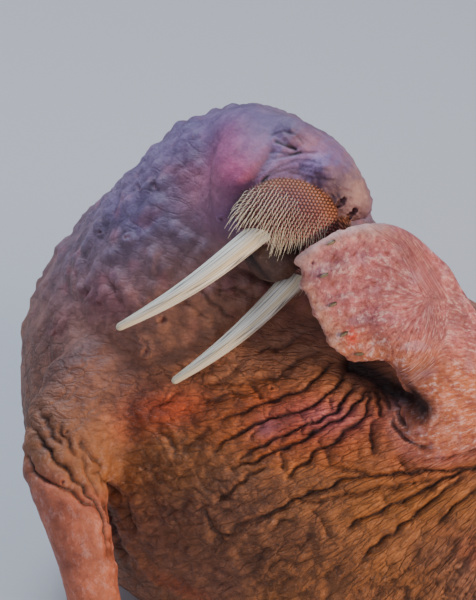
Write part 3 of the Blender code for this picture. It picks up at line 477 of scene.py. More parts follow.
# For each set of inner corners of a tetrahedron, its corners in an order that keeps its turn
ORDERS = {
    (0,): (0, 1, 2, 3), (1,): (1, 0, 3, 2), (2,): (2, 0, 1, 3), (3,): (3, 0, 2, 1),
    (0, 1): (0, 1, 2, 3), (0, 2): (0, 2, 3, 1), (0, 3): (0, 3, 1, 2),
    (1, 2): (1, 2, 0, 3), (1, 3): (1, 3, 2, 0), (2, 3): (2, 3, 0, 1),
}


def crossings(inner):
    """Triangles of crossed edges that part the inner corners of a tetrahedron from the others."""
    outer = tuple(corner for corner in range(4) if corner not in inner)
    if len(inner) == 3:
        return [triangle[::-1] for triangle in crossings(outer)]
    first, second, third, fourth = ORDERS[inner]
    if len(inner) == 1:
        return [((first, second), (first, third), (first, fourth))]
    ring = ((first, third), (first, fourth), (second, fourth), (second, third))
    return [(ring[0], ring[1], ring[2]), (ring[0], ring[2], ring[3])]


def lattice(counts):
    """All whole-number places of a box, one row each."""
    axes = np.meshgrid(*[np.arange(count) for count in counts], indexing="ij")
    return np.stack(axes, -1).reshape(-1, 3)


def level_values(distance, low, high):
    """The distance on a fine lattice. Places far from the surface keep a coarse value's sign."""
    coarse_counts = np.ceil((high - low) / COARSE).astype(int) + 1
    coarse_values = distance(low + lattice(coarse_counts) * COARSE).reshape(coarse_counts)
    counts = (coarse_counts - 1) * SPLIT + 1
    picks = [(np.arange(count) + SPLIT // 2) // SPLIT for count in counts]
    values = coarse_values[np.ix_(*picks)].reshape(-1)
    close = np.flatnonzero(np.abs(values) < CLOSE)
    index = np.column_stack(np.unravel_index(close, counts))
    values[close] = distance(low + index * (COARSE / SPLIT))
    return values, counts


def surface_of(distance, low, high):
    """Corners and triangles of the surface where a distance is zero, on six tetrahedra a cube."""
    values, counts = level_values(distance, low, high)
    stride = np.array([counts[1] * counts[2], counts[2], 1])
    solid = (values < 0).reshape(counts)
    near_side = [slice(0, -1), slice(1, None)]
    tally = sum(solid[a, b, c].astype(int) for a, b, c in itertools.product(near_side, repeat=3))
    base = np.column_stack(np.nonzero((tally > 0) & (tally < 8))) @ stride
    starts, stops = [], []
    for order in itertools.permutations(range(3)):
        odd = order not in ((0, 1, 2), (1, 2, 0), (2, 0, 1))
        corners = base[:, None] + np.array([0, *np.cumsum(stride[list(order)])])
        code = (values[corners] < 0) @ np.array([1, 2, 4, 8])
        for number in range(1, 15):
            inner = tuple(corner for corner in range(4) if number >> corner & 1)
            here = corners[code == number]
            for triangle in crossings(inner):
                edges = triangle[::-1] if odd else triangle
                starts.append(here[:, [edge[0] for edge in edges]])
                stops.append(here[:, [edge[1] for edge in edges]])
    starts, stops = np.vstack(starts), np.vstack(stops)
    key = np.minimum(starts, stops) * len(values) + np.maximum(starts, stops)
    key, faces = np.unique(key, return_inverse=True)
    one, other = key // len(values), key % len(values)
    share = (values[one] / (values[one] - values[other]))[:, None]
    place = [np.column_stack(np.unravel_index(side, counts)) for side in (one, other)]
    corners = low + (COARSE / SPLIT) * (place[0] * (1 - share) + place[1] * share)
    return corners, faces.reshape(-1, 3)


def slope_of(distance, corners, value, step=0.0004):
    """The way out of a surface, from the distance's change along each axis."""
    return np.column_stack([distance(corners + step * axis) - value for axis in np.eye(3)]) / step


def settle(distance, corners, rounds=1):
    """Move corners straight on to the surface: back by the distance, along its slope."""
    for _ in range(rounds):
        value = distance(corners)
        slope = slope_of(distance, corners, value)
        size = np.maximum((slope ** 2).sum(1), 0.25)
        corners = corners - slope * (value / size)[:, None]
    return corners


def thin(corners, faces, ratio):
    """Fewer triangles for the same surface, by collapsing the edges that change it least."""
    mesh = bpy.data.meshes.new("sheet")
    mesh.from_pydata(corners, [], faces)
    holder = bpy.data.objects.new("sheet", mesh)
    bpy.context.scene.collection.objects.link(holder)
    holder.modifiers.new("Thin", "DECIMATE").ratio = ratio
    bpy.context.view_layer.update()
    result = holder.evaluated_get(bpy.context.evaluated_depsgraph_get()).to_mesh()
    places = np.empty(len(result.vertices) * 3)
    result.vertices.foreach_get("co", places)
    result.calc_loop_triangles()
    triangles = np.empty(len(result.loop_triangles) * 3, int)
    result.loop_triangles.foreach_get("vertices", triangles)
    bpy.data.objects.remove(holder)
    bpy.data.meshes.remove(mesh)
    return places.reshape(-1, 3), triangles.reshape(-1, 3)


def edges_of(faces, count):
    """Each edge once, as its two corners, and which edges each triangle has."""
    pairs = np.sort(np.vstack([faces[:, [0, 1]], faces[:, [1, 2]], faces[:, [2, 0]]]), axis=1)
    key, inverse = np.unique(pairs[:, 0] * count + pairs[:, 1], return_inverse=True)
    return key // count, key % count, inverse.reshape(3, -1).T


def split_long(corners, faces, wanted):
    """Halve each edge that is longer than wanted at its middle, and part its triangles to suit."""
    one, other, own = edges_of(faces, len(corners))
    middle = (corners[one] + corners[other]) / 2
    long = np.linalg.norm(corners[one] - corners[other], axis=1) > wanted(middle)
    number = np.full(len(one), -1)
    number[long] = len(corners) + np.arange(long.sum())
    mid = number[own]
    cuts = (mid >= 0).sum(1)
    parts = [faces[cuts == 0]]
    a, b, c = faces[cuts == 3].T
    ab, bc, ca = mid[cuts == 3].T
    parts += [np.column_stack(rows) for rows in ((a, ab, ca), (ab, b, bc), (ca, bc, c), (ab, bc, ca))]
    for turn in range(3):
        order = [turn, (turn + 1) % 3, (turn + 2) % 3]
        chosen = (cuts == 1) & (mid[:, turn] >= 0)
        a, b, c = faces[chosen][:, order].T
        ab = mid[chosen, turn]
        parts += [np.column_stack((a, ab, c)), np.column_stack((ab, b, c))]
        chosen = (cuts == 2) & (mid[:, order[2]] < 0)
        a, b, c = faces[chosen][:, order].T
        ab, bc = mid[chosen][:, order[:2]].T
        parts += [np.column_stack(rows) for rows in ((a, ab, c), (ab, bc, c), (ab, b, bc))]
    return np.vstack([corners, middle[long]]), np.vstack(parts)


def normals_of(corners, faces):
    """The average of each corner's triangles' normals, weighted by their area."""
    a, b, c = (corners[faces[:, side]] for side in range(3))
    flat = np.cross(b - a, c - a).T
    total = np.column_stack([
        sum(np.bincount(faces[:, side], part, len(corners)) for side in range(3)) for part in flat
    ])
    return total / np.maximum(np.linalg.norm(total, axis=1), 1e-12)[:, None]


def relaxed(corners, faces, amount=0.5):
    """Slide each corner along the surface, part of the way to its neighbours' middle."""
    size = len(corners)
    one, other, _ = edges_of(faces, size)
    count = np.bincount(one, minlength=size) + np.bincount(other, minlength=size)
    middle = np.column_stack([
        np.bincount(one, axis[other], size) + np.bincount(other, axis[one], size) for axis in corners.T
    ]) / np.maximum(count, 1)[:, None]
    normal = normals_of(corners, faces)
    move = (middle - corners) * amount
    return corners + move - normal * (move * normal).sum(1)[:, None]


def seen(points):
    """Places in the pose's frame as metres to the right, up and near, and as pixels of the view."""
    sine, cosine = math.sin(VIEW_TILT), math.cos(VIEW_TILT)
    height = points[:, 2] - EYE_LEVEL
    right = points[:, 0]
    up = points[:, 1] * sine + height * cosine
    near = -points[:, 1] * cosine + height * sine
    scale = PIXELS_A_METRE * VIEW_FAR / (VIEW_FAR - near)
    return right, up, near, IMAGE_SIZE[0] / 2 + scale * right, IMAGE_SIZE[1] / 2 - scale * up


def ease(value, start, stop):
    """0 at start, 1 at stop, and a smooth S between."""
    part = np.clip((value - start) / (stop - start), 0.0, 1.0)
    return part * part * (3 - 2 * part)


def hump(value, width):
    """1 at zero, falling off as a bell of that width."""
    return np.exp(-(value / width) ** 2)


# Folds that the bend pushes up, and those of the throat and of the propping shoulder. Each is its
# depth, then its course in pixels of the view.
FOLDS = [
    (0.9, [(220, 420), (254, 407), (290, 394), (306, 388), (320, 375), (334, 360)]),
    (1.0, [(215, 450), (240, 432), (254, 424), (294, 413), (310, 406), (324, 398), (336, 386), (350, 362)]),
    (1.0, [(241, 458), (260, 446), (280, 436), (300, 429), (320, 420), (336, 410), (344, 399), (360, 378)]),
    (1.0, [(232, 468), (264, 458), (276, 450), (288, 448), (312, 434), (328, 423), (340, 419), (349, 410),
           (360, 400), (371, 382)]),
    (0.7, [(240, 484), (252, 474), (266, 468)]),
    (0.9, [(286, 478), (300, 466), (318, 450), (340, 439), (344, 430), (358, 421), (368, 414)]),
    (0.9, [(373, 382), (369, 394), (367, 406), (364, 418)]),
    (0.9, [(376, 382), (378, 396), (379, 410), (381, 416)]),
    (0.9, [(380, 382), (384, 394), (388, 406), (389, 412)]),
    (0.9, [(382, 380), (390, 394), (396, 408), (402, 420), (406, 425)]),
    (0.8, [(386, 378), (398, 392), (408, 406), (420, 416)]),
    (0.8, [(394, 418), (398, 430), (404, 438), (416, 445), (428, 446)]),
    (0.7, [(372, 424), (371, 438), (372, 452)]),
    (1.0, [(249, 520), (264, 516), (278, 508), (300, 497), (328, 488), (344, 481), (374, 475), (410, 472),
           (460, 470), (520, 462)]),
    (0.7, [(327, 466), (344, 468), (358, 473), (374, 475)]),
    (0.6, [(394, 460), (410, 468), (430, 470)]),
    (0.7, [(420, 460), (450, 458), (476, 450), (520, 436)]),
    (0.7, [(294, 501), (320, 502), (340, 496), (376, 489), (420, 482), (440, 480)]),
    (1.0, [(345, 529), (360, 520), (400, 502), (420, 492), (440, 481), (476, 466), (530, 440)]),
    (0.9, [(360, 559), (374, 546), (390, 534), (410, 520), (430, 504), (450, 486), (460, 478)]),
    (0.8, [(438, 524), (450, 510), (462, 500), (476, 488), (520, 466)]),
    (0.6, [(200, 388), (240, 383), (258, 380), (286, 375)]),
    (0.6, [(200, 400), (216, 399), (230, 394), (244, 395)]),
    (0.6, [(300, 336), (286, 344), (270, 349), (260, 352)]),
    (0.6, [(320, 350), (308, 355), (296, 362), (280, 371)]),
    (0.7, [(204, 506), (209, 520), (216, 532), (224, 542)]),
    (0.7, [(214, 538), (230, 534), (240, 524), (249, 520)]),
    (0.7, [(220, 498), (232, 490), (240, 484)]),
    (0.6, [(268, 528), (280, 522), (294, 520)]),
    (0.4, [(110, 282), (118, 292), (122, 302), (130, 310)]),
    (0.5, [(180, 302), (192, 306), (200, 312), (212, 318)]),
    (0.6, [(200, 290), (212, 302), (224, 314), (240, 318)]),
    (0.5, [(216, 288), (230, 290), (250, 292)]),
    (0.6, [(230, 260), (240, 270), (252, 274), (260, 280)]),
    (1.0, [(30, 425), (48, 448), (58, 462), (80, 484), (97, 505), (103, 520), (112, 560)]),
    (1.0, [(28, 455), (35, 470), (52, 484), (72, 493), (97, 510)]),
    (0.7, [(40, 410), (48, 422), (53, 437), (60, 445)]),
    (0.7, [(60, 430), (66, 440), (76, 457)]),
    (0.7, [(78, 440), (88, 452), (97, 462), (105, 475)]),
    (0.7, [(80, 457), (87, 470), (92, 482), (98, 495)]),
    (0.8, [(92, 470), (103, 480), (113, 490), (120, 500)]),
    (0.8, [(103, 500), (108, 515), (113, 527), (120, 545), (128, 560)]),
    (0.7, [(128, 500), (130, 515), (136, 530)]),
    (0.5, [(252, 438), (262, 428), (270, 412)]), (0.5, [(300, 412), (306, 426), (302, 440)]),
    (0.5, [(330, 398), (334, 410)]), (0.5, [(262, 404), (258, 392), (246, 384)]),
    (0.5, [(286, 436), (280, 450), (284, 470)]), (0.5, [(318, 440), (326, 452), (330, 466)]),
    (0.4, [(210, 430), (196, 440), (184, 452)]), (0.4, [(240, 366), (228, 376), (214, 386)]),
    (0.4, [(180, 392), (168, 402), (150, 410)]), (0.4, [(160, 430), (172, 440), (178, 452)]),
    (0.4, [(310, 510), (322, 520), (330, 540)]), (0.4, [(380, 492), (386, 506)]),
]
FOLD_REACH = 24


def along_line(across, down, line):
    """Distance in the view's pixels to a line of straight runs, and the share of it gone by."""
    best = np.full(len(across), 1e9)
    share = np.zeros(len(across))
    for index, ((x, y), stop) in enumerate(zip(line[:-1], line[1:])):
        run = np.array([stop[0] - x, stop[1] - y], float)
        part = np.clip(((across - x) * run[0] + (down - y) * run[1]) / (run @ run), 0.0, 1.0)
        gap = np.hypot(across - x - part * run[0], down - y - part * run[1])
        share = np.where(gap < best, (index + part) / (len(line) - 1), share)
        best = np.minimum(best, gap)
    return best, share


def from_line(across, down, line):
    """Distance in the view's pixels to a line of straight runs."""
    return along_line(across, down, line)[0]


def near_folds(across, down, width=2.1):
    """Distance to the nearest fold, and how deep the hide is folded: each fold's own depth, run out
    at its ends, times a bell of the distance."""
    gap = np.full(len(across), 2.0 * FOLD_REACH)
    groove = np.zeros(len(across))
    for depth, line in FOLDS:
        low, high = np.min(line, 0) - FOLD_REACH, np.max(line, 0) + FOLD_REACH
        inside = (across > low[0]) & (across < high[0]) & (down > low[1]) & (down < high[1])
        index = np.flatnonzero(inside)
        away, share = along_line(across[index], down[index], line)
        left = depth * np.sqrt(np.clip(7 * np.minimum(share, 1 - share) + 0.15, 0, 1))
        gap[index] = np.minimum(gap[index], away)
        groove[index] = np.maximum(groove[index], left * hump(away, width))
    return gap, groove


# Sores and scars on the hide, in pixels of the view, with their radii
SORES = [
    (139, 188, 3.5), (155, 186, 3.5), (130, 238, 4), (100, 233, 2.5), (73, 271, 4), (88, 294, 6),
    (101, 303, 3), (57, 332, 3.5), (163, 320, 4), (221, 219, 2.5), (147, 351, 4), (66, 433, 3),
    (63, 482, 2.5), (276, 350, 3.5), (272, 389, 2.5), (312, 263, 2.5),
]


# How long an edge of the hide may be by place, in metres
BACK_EDGE, NECK_EDGE, FRONT_EDGE, FACE_EDGE, LID_EDGE = 0.032, 0.020, 0.0129, 0.0070, 0.0036
RAISED_HAND_EDGE, HAND_EDGE, FOLD_EDGE, SORE_EDGE = 0.0085, 0.016, 0.0067, 0.004
FACE_CENTRE, FACE_REACH = (-0.09, 0.0, -0.05), 0.17


def on_left_side(local):
    """Places in the head's axes, with those of its right side moved over to the left."""
    return np.column_stack([local[:, 0], np.abs(local[:, 1]), local[:, 2]])


def wanted_edge(points):
    """How long an edge may be: short on the face and hands, longer on the chest, longest behind."""
    right, up, near, across, down = seen(points)
    local = (points - NOSE) @ HEAD_AXES.T
    result = np.full(len(points), BACK_EDGE)
    front = (near > 0.25 * np.maximum(right - 0.5, 0)) & (across < 500) & (down < 640)
    result[front] = FRONT_EDGE
    result[(up > 0.0) & ~front] = NECK_EDGE
    for limb in (LEFT_FORE, RIGHT_FORE, RIGHT_HIND, LEFT_HIND):
        hand = ((points > limb.hand_low + 0.06) & (points < limb.hand_high - 0.06)).all(1)
        edge = RAISED_HAND_EDGE if limb is LEFT_FORE else HAND_EDGE
        result[hand] = np.minimum(result[hand], edge)
    face = np.linalg.norm((local - FACE_CENTRE) / (1.0, 0.9, 1.0), axis=1)
    result[face < FACE_REACH] = FACE_EDGE
    side = on_left_side(local)
    eye = np.linalg.norm(side - EYE_CENTRE - (0, 0.012, 0), axis=1)
    nose = np.linalg.norm(side - np.array(NOSTRIL[0]), axis=1)
    result[(eye < 0.040) | (nose < 0.030)] = LID_EDGE
    facing = near > 0.05
    folded = front & facing & (near_folds(across, down)[0] < 4.5)
    result[folded] = np.minimum(result[folded], FOLD_EDGE)
    for x, y, size in SORES:
        close = facing & (np.hypot(across - x, down - y) < size * 1.6)
        result[close] = np.minimum(result[close], SORE_EDGE)
    return result


corners, faces = surface_of(body, BODY_LOW, BODY_HIGH)
corners, faces = thin(settle(body, corners), faces, THINNED)
for _ in range(2):
    corners = relaxed(corners, faces)
for _ in range(5):
    corners, faces = split_long(corners, faces, wanted_edge)
    corners = relaxed(corners, faces, 0.6)
corners = settle(body, corners)
corners = settle(body, relaxed(corners, faces))
print("hide", len(corners), len(faces))

# The relief of the hide
# Walrus hide is two to four centimetres thick. It stands in rounded bosses on the neck, and the
# bend of the body pushes it into long folds that fan out from the inner side of the bend.
BEND_CENTRE, BEND_REACH = (600, 372), 0.75
HAND_CENTRE, HAND_REACH = (430, 300), 0.15
FOLD_TOP = 330
ARMPIT = [(352, 362), (372, 371), (395, 388), (420, 410)]
HAND_LINE = [(300, 250), (345, 290), (360, 320)]

# The cells that the hide breaks up into, in metres: for two, across the folds and along them
LUMP_CELL, NET_CELL = 0.036, 0.030
FOLD_CELL, CRACK_CELL = (0.036, 0.165, 0.150), (0.017, 0.050, 0.050)

# Heights and depths of the relief, in metres
FOLD_HEIGHT, FOLD_DEPTH, CRACK_DEPTH = 0.0060, 0.0060, 0.0012
DRAWN_HEIGHT, DRAWN_DEPTH, PIT_DEPTH = 0.0068, 0.0080, 0.026
LUMP_HEIGHT, LUMP_DEPTH, SWELLING = 0.0105, 0.0014, 0.0030
NET_HEIGHT, NET_DEPTH = 0.0030, 0.0032
FURROW_DEPTH, THROAT_DEPTH, SLIT_DEPTH, EYE_FOLD_DEPTH = 0.009, 0.005, 0.0040, 0.0017
RING_DEPTH, RIM_DEPTH, MUZZLE_ROUGH, CHEEK_ROUGH = 0.0016, 0.0030, 0.0018, 0.0012
RIDGE_HEIGHT, FOOT_ROUGH, SORE_RIM, SORE_DEPTH = 0.0011, 0.0012, 0.0022, 0.003


def scattered(places, seed):
    """Distance to the nearest of the points that lie one to a unit cube, at hashed places, and how
    much farther off the next one is: its distance less the first."""
    base = np.floor(places).astype(np.int64)
    best = np.full(len(places), 9.0)
    second = np.full(len(places), 9.0)
    for step in itertools.product((-1, 0, 1), repeat=3):
        cube = base + step
        mix = (cube[:, 0] * 73856093) ^ (cube[:, 1] * 19349663) ^ (cube[:, 2] * 83492791)
        mix = mix ^ (seed * 2654435761)
        mix = ((mix ^ (mix >> 13)) * 1540483477) & 0xFFFFFFFF
        mix = mix ^ (mix >> 15)
        spot = np.column_stack([mix & 1023, (mix >> 10) & 1023, (mix >> 20) & 1023]) / 1023
        reach = np.linalg.norm(cube + spot - places, axis=1)
        second = np.minimum(second, np.maximum(best, reach))
        best = np.minimum(best, reach)
    return best, second - best


def ripple(places, length, seed, count=9):
    """A smooth random field of about one unit: the sum of plane waves near one wavelength."""
    generator = np.random.default_rng(seed)
    total = np.zeros(len(places))
    for _ in range(count):
        way = unit(generator.normal(size=3)) * 2 * math.pi / (length * generator.uniform(0.7, 1.5))
        total += np.cos(places @ way + generator.uniform(0, 2 * math.pi))
    return total * math.sqrt(2 / count) / 1.5


def cover(limb, fade):
    """1 on a limb's own hide and 0 from fade metres off it, for each corner."""
    return 1 - ease(within(corners, limb.low, limb.high, limb.distance), 0.004, fade)


def band(spot, line, width):
    """A bell of the distance in the view's pixels to a line."""
    return hump(from_line(*spot, line), width)


def blot(spot, centre, halves, rough=0.0):
    """A soft oval of the view: a bell of the distance to its centre, in shares of its halves."""
    return hump(np.hypot(*[(spot[i] - centre[i]) / halves[i] for i in (0, 1)]) + rough, 1.0)


normal = normals_of(corners, faces)
right, up, near, across, down = seen(corners)
local = (corners - NOSE) @ HEAD_AXES.T
side = on_left_side(local)
in_view = (across, down)
# The view shows the right side of the face, so that side's places stand for both
face_view = seen(NOSE + (side * (1, -1, 1)) @ HEAD_AXES)[3:]
toward = normal @ from_view(0, 0, 1)

# Which part of the animal each corner is on, from 0 to 1
left_arm = cover(LEFT_FORE, 0.030)
left_hand = left_arm * (1 - ease(from_line(*in_view, HAND_LINE), 62, 92)) * ease(near, 0.36, 0.40)
face = (1 - ease(within(local, HEAD_LOW, HEAD_HIGH, head), 0.004, 0.035)) * (1 - left_arm)
in_pad = bulge(side, PAD_CENTRE, PAD_RADII, pad_axes())
pad = face * (1 - ease(in_pad, 0.002, 0.006))
chin = face * (1 - ease(bulge(local, *CHIN), 0.004, 0.016)) * (1 - pad)
right_arm = cover(RIGHT_FORE, 0.040) * ease(-up, 0.24, 0.36)
feet = np.maximum(cover(RIGHT_HIND, 0.030), cover(LEFT_HIND, 0.030))
trunk_only = (1 - left_arm) * (1 - face) * (1 - 0.8 * right_arm) * (1 - feet)

# Grain: how far across the folds, and how far along them, in metres
centre_right = (BEND_CENTRE[0] - IMAGE_SIZE[0] / 2) / PIXELS_A_METRE
centre_up = (IMAGE_SIZE[1] / 2 - BEND_CENTRE[1]) / PIXELS_A_METRE
angle = np.arctan2(up - centre_up, centre_right - right)
reach = np.hypot(up - centre_up, centre_right - right)
grain = np.column_stack([angle * BEND_REACH, reach, near])
hand_angle = np.arctan2(down - HAND_CENTRE[1], HAND_CENTRE[0] - across)
hand_reach = np.hypot(down - HAND_CENTRE[1], HAND_CENTRE[0] - across) / PIXELS_A_METRE
hand_grain = np.column_stack([hand_angle * HAND_REACH, hand_reach, near])
grain = grain * (1 - left_hand)[:, None] + hand_grain * left_hand[:, None]

# Lumps of the neck, folds of the chest, and the net of cracks low on the breast
wobble = np.column_stack([ripple(corners, 0.13, seed) for seed in (5, 6, 7)])
lump, lump_edge = scattered(corners / LUMP_CELL + wobble * 0.30, 1)
_, net_edge = scattered(corners / NET_CELL + wobble * 0.35, 2)
_, fold_edge = scattered(grain / FOLD_CELL + wobble * (0.38, 0.10, 0.10), 3)
_, crack_edge = scattered(grain / CRACK_CELL + wobble * (0.6, 0.2, 0.2), 4)

folded = ease(down + 26 * ripple(corners, 0.25, 8), FOLD_TOP - 25, FOLD_TOP + 45)
folded = np.where(toward > -0.3, folded, ease(-up, -0.25, 0.20))
front = ease(toward, -0.25, 0.15) * ease(near, -0.10, 0.05) * (1 - left_hand) * (1 - face)
shaken = [spot + 1.6 * ripple(corners, 0.035, seed) for spot, seed in ((across, 17), (down, 18))]
gap, groove = near_folds(*shaken)
groove = groove * front
drawn = front * hump(gap, FOLD_REACH * 0.9)
depth_of_folds = (0.45 + 0.55 * ease(across, 90, 330)) * trunk_only * folded * (1 - 0.85 * drawn)
fold_groove, lump_groove = hump(fold_edge, 0.13), hump(lump_edge, 0.16)
net_groove, crack_groove = hump(net_edge, 0.15), hump(crack_edge, 0.18)
lumpy = trunk_only * (1 - 0.9 * folded)
netted = trunk_only * front * (0.35 * folded + 0.65 * blot(in_view, (165, 505), (95, 75)))
# The armpit: a deep hollow, which is also darkened with painted shade.
pit = band(in_view, ARMPIT, 13) * front

relief = depth_of_folds * (FOLD_HEIGHT * (1 - hump(fold_edge, 0.45)) - FOLD_DEPTH * fold_groove)
relief += front * (DRAWN_HEIGHT * hump(gap - 9, 7) * (1 - 0.5 * lumpy) - DRAWN_DEPTH * groove)
relief += lumpy * (LUMP_HEIGHT * (1 - ease(lump, 0.0, 0.80)) - LUMP_DEPTH * lump_groove)
relief += lumpy * SWELLING * ripple(corners, 0.085, 30)
relief -= trunk_only * folded * CRACK_DEPTH * crack_groove
relief += netted * (NET_HEIGHT * (1 - hump(net_edge, 0.40)) - NET_DEPTH * net_groove)
relief -= PIT_DEPTH * pit

# The face: folds that run round above the whisker pad, the furrow behind it, and the eye's folds
PAD_EDGE = [
    (262, 181), (275, 178), (290, 177), (303, 180), (312, 186), (322, 195), (330, 204), (337, 213),
]
CHEEK_FURROW = [(270, 151), (264, 163), (255, 176), (245, 190), (234, 206), (231, 218)]
THROAT_FURROW = [(240, 242), (252, 262), (268, 282), (290, 292)]
EYE_SLIT = [(276, 141), (283, 143.5), (290, 146.0), (295, 149)]
EYE_FOLDS = [
    [(270, 150), (279, 152), (290, 153.5), (300, 152)],
    [(268, 158), (280, 157), (292, 155), (303, 152), (315, 152)],
    [(272, 134), (284, 131), (297, 135), (303, 143)],
    [(262, 180), (270, 172), (280, 166), (295, 160), (310, 160), (320, 163)],
    [(258, 185), (266, 177), (280, 171), (290, 168), (305, 170), (320, 174)],
    [(290, 172), (300, 174), (312, 178), (325, 179), (335, 180)],
    [(300, 165), (315, 168), (330, 170)],
]
shown_face = face * ((toward > -0.2) | (local[:, 1] > 0))
furrow = band(face_view, CHEEK_FURROW, 7.0) * shown_face
throat = band(in_view, THROAT_FURROW, 4.0) * (1 - left_arm) * (toward > 0) * (1 - pad)
slit = band(face_view, EYE_SLIT, 2.3) * shown_face
eye_fold = sum(band(face_view, line, 1.8) for line in EYE_FOLDS) * shown_face
skin = face * (1 - pad) * (1 - chin)
above_pad = skin * hump(in_pad - 0.016, 0.018) * (side[:, 2] > -0.09)
ring = 0.5 + 0.5 * np.cos(2 * math.pi * in_pad / 0.0085 + 0.8 * ripple(corners, 0.05, 10))
pad_rim = face * hump(in_pad - 0.004, 0.0022)
muzzle_top = skin * ease(side[:, 0], -0.12, -0.03)
cheek = face * (1 - pad) * (1 - muzzle_top) * (1 - above_pad)
relief -= FURROW_DEPTH * furrow + THROAT_DEPTH * throat
relief -= SLIT_DEPTH * slit + EYE_FOLD_DEPTH * eye_fold
relief -= RING_DEPTH * above_pad * ring + RIM_DEPTH * pad_rim
relief += muzzle_top * MUZZLE_ROUGH * ripple(corners, 0.016, 11)
relief += cheek * CHEEK_ROUGH * ripple(corners, 0.020, 12)

# The flippers: low ridges that run out to the digits, and a rough skin
relief += left_hand * RIDGE_HEIGHT * ripple(grain / (0.35, 3.0, 3.0), 0.020, 13)
relief += feet * FOOT_ROUGH * ripple(corners, 0.016, 14)

# Sores with raised rims. Only one of them is on the raised flipper.
HAND_SORE = 312
sore = np.zeros(len(corners))
rough, patchy = ripple(corners, 0.02, 15), ripple(corners, 0.012, 16)
for x, y, size in SORES:
    spread = np.hypot(across - x, down - y + 0.8 * rough)
    mark = hump(spread, size * 0.62) * (toward > 0.1) * ((left_hand > 0.5) == (x == HAND_SORE))
    sore = np.maximum(sore, mark * (0.55 + 0.45 * patchy))
    relief += SORE_RIM * hump(spread - size * 1.2, size * 0.5) * (toward > 0.1) - SORE_DEPTH * mark

relief *= ease(corners[:, 2], 0.004, 0.045)
corners = corners + normal * relief[:, None]
corners[:, 2] = np.maximum(corners[:, 2], 0.0)

# The hide's colours
# Violet grey on the crown and neck, rose on the cheek and flipper, ochre and brick red on the
# chest, and near black brown on the chin. The violet grey is partly painted cool light from
# above, the warm tints low on the chest and flipper partly painted warm low light, and the dark
# browns on the left side and under the chest partly painted shade. Ovals are in pixels of the
# view: x, y, half width, half height, colour and strength.
VIOLET, SLATE, ROSE = (0.19, 0.155, 0.30), (0.20, 0.145, 0.185), (0.50, 0.13, 0.25)
OCHRE, BRICK, SHADED_UMBER = (0.42, 0.180, 0.060), (0.56, 0.110, 0.050), (0.22, 0.100, 0.045)
TAWNY, PINK, LILAC = (0.33, 0.170, 0.115), (0.60, 0.170, 0.100), (0.36, 0.24, 0.46)
MAUVE, SHADED_BROWN = (0.52, 0.20, 0.25), (0.23, 0.120, 0.100)
PATCHES = [
    # The dark brown ovals on the left side and low on the chest are the hide's own brown darkened by painted
    # shade, and the dark violet one at 228, 212 is painted shade at the foot of the cheek furrow.
    (60, 350, 60, 80, SHADED_BROWN, 0.9), (90, 240, 80, 80, SLATE, 0.9), (200, 130, 130, 55, VIOLET, 0.95),
    (150, 200, 60, 60, VIOLET, 0.5), (190, 335, 80, 45, TAWNY, 0.8), (235, 165, 26, 34, ROSE, 0.95),
    (228, 212, 24, 26, (0.20, 0.10, 0.22), 0.8), (275, 430, 150, 62, OCHRE, 0.9),
    (170, 408, 48, 20, BRICK, 0.85), (300, 425, 70, 34, BRICK, 0.75), (430, 430, 60, 46, PINK, 0.85),
    (330, 418, 40, 18, MAUVE, 0.7), (268, 428, 14, 10, MAUVE, 0.7), (250, 545, 160, 50, SHADED_UMBER, 0.7),
    (420, 505, 90, 30, OCHRE, 0.8), (50, 450, 50, 60, SHADED_UMBER, 0.65), (110, 380, 40, 40, SHADED_BROWN, 0.6),
    (110, 300, 30, 24, MAUVE, 0.35), (195, 185, 26, 30, MAUVE, 0.5), (130, 215, 26, 22, VIOLET, 0.6),
]
FACE_PATCHES = [
    (305, 160, 42, 24, LILAC, 0.9), (300, 140, 14, 10, (0.50, 0.26, 0.30), 0.7),
    (366, 195, 16, 30, (0.52, 0.36, 0.36), 0.9), (335, 195, 13, 14, (0.20, 0.13, 0.15), 0.8),
]
HAND_EDGE_LINE = [(295, 262), (315, 238), (345, 225), (385, 222)]
HAND_TIP_LINE = [(296, 270), (318, 310), (335, 345)]
VIVID = 1.15

shown = ease(toward, -0.35, 0.25) * ease(near, -0.35, -0.05) * (1 - left_hand)
edge_band = left_hand * band(in_view, HAND_EDGE_LINE, 12)
streak = ripple(hand_grain / (0.30, 3.0, 3.0), 0.016, 24) + 0.5 * ripple(corners, 0.012, 25)
shin = ease(down - 0.35 * across + 5 * ripple(corners, 0.06, 32), 440, 480)
# Painted highlight: the tops of the bosses high on the neck, which take a pale cool tint for the light from
# above.
boss_sky_highlight = lumpy * (1 - ease(lump, 0.0, 0.55)) * ease(up, -0.05, 0.15)
rosy = ease(ripple(corners, 0.06, 31), 0.4, 1.3) * ease(up, -0.15, 0.05) * (1 - face)
smudge = 0.10 * ripple(corners, 0.11, 22)

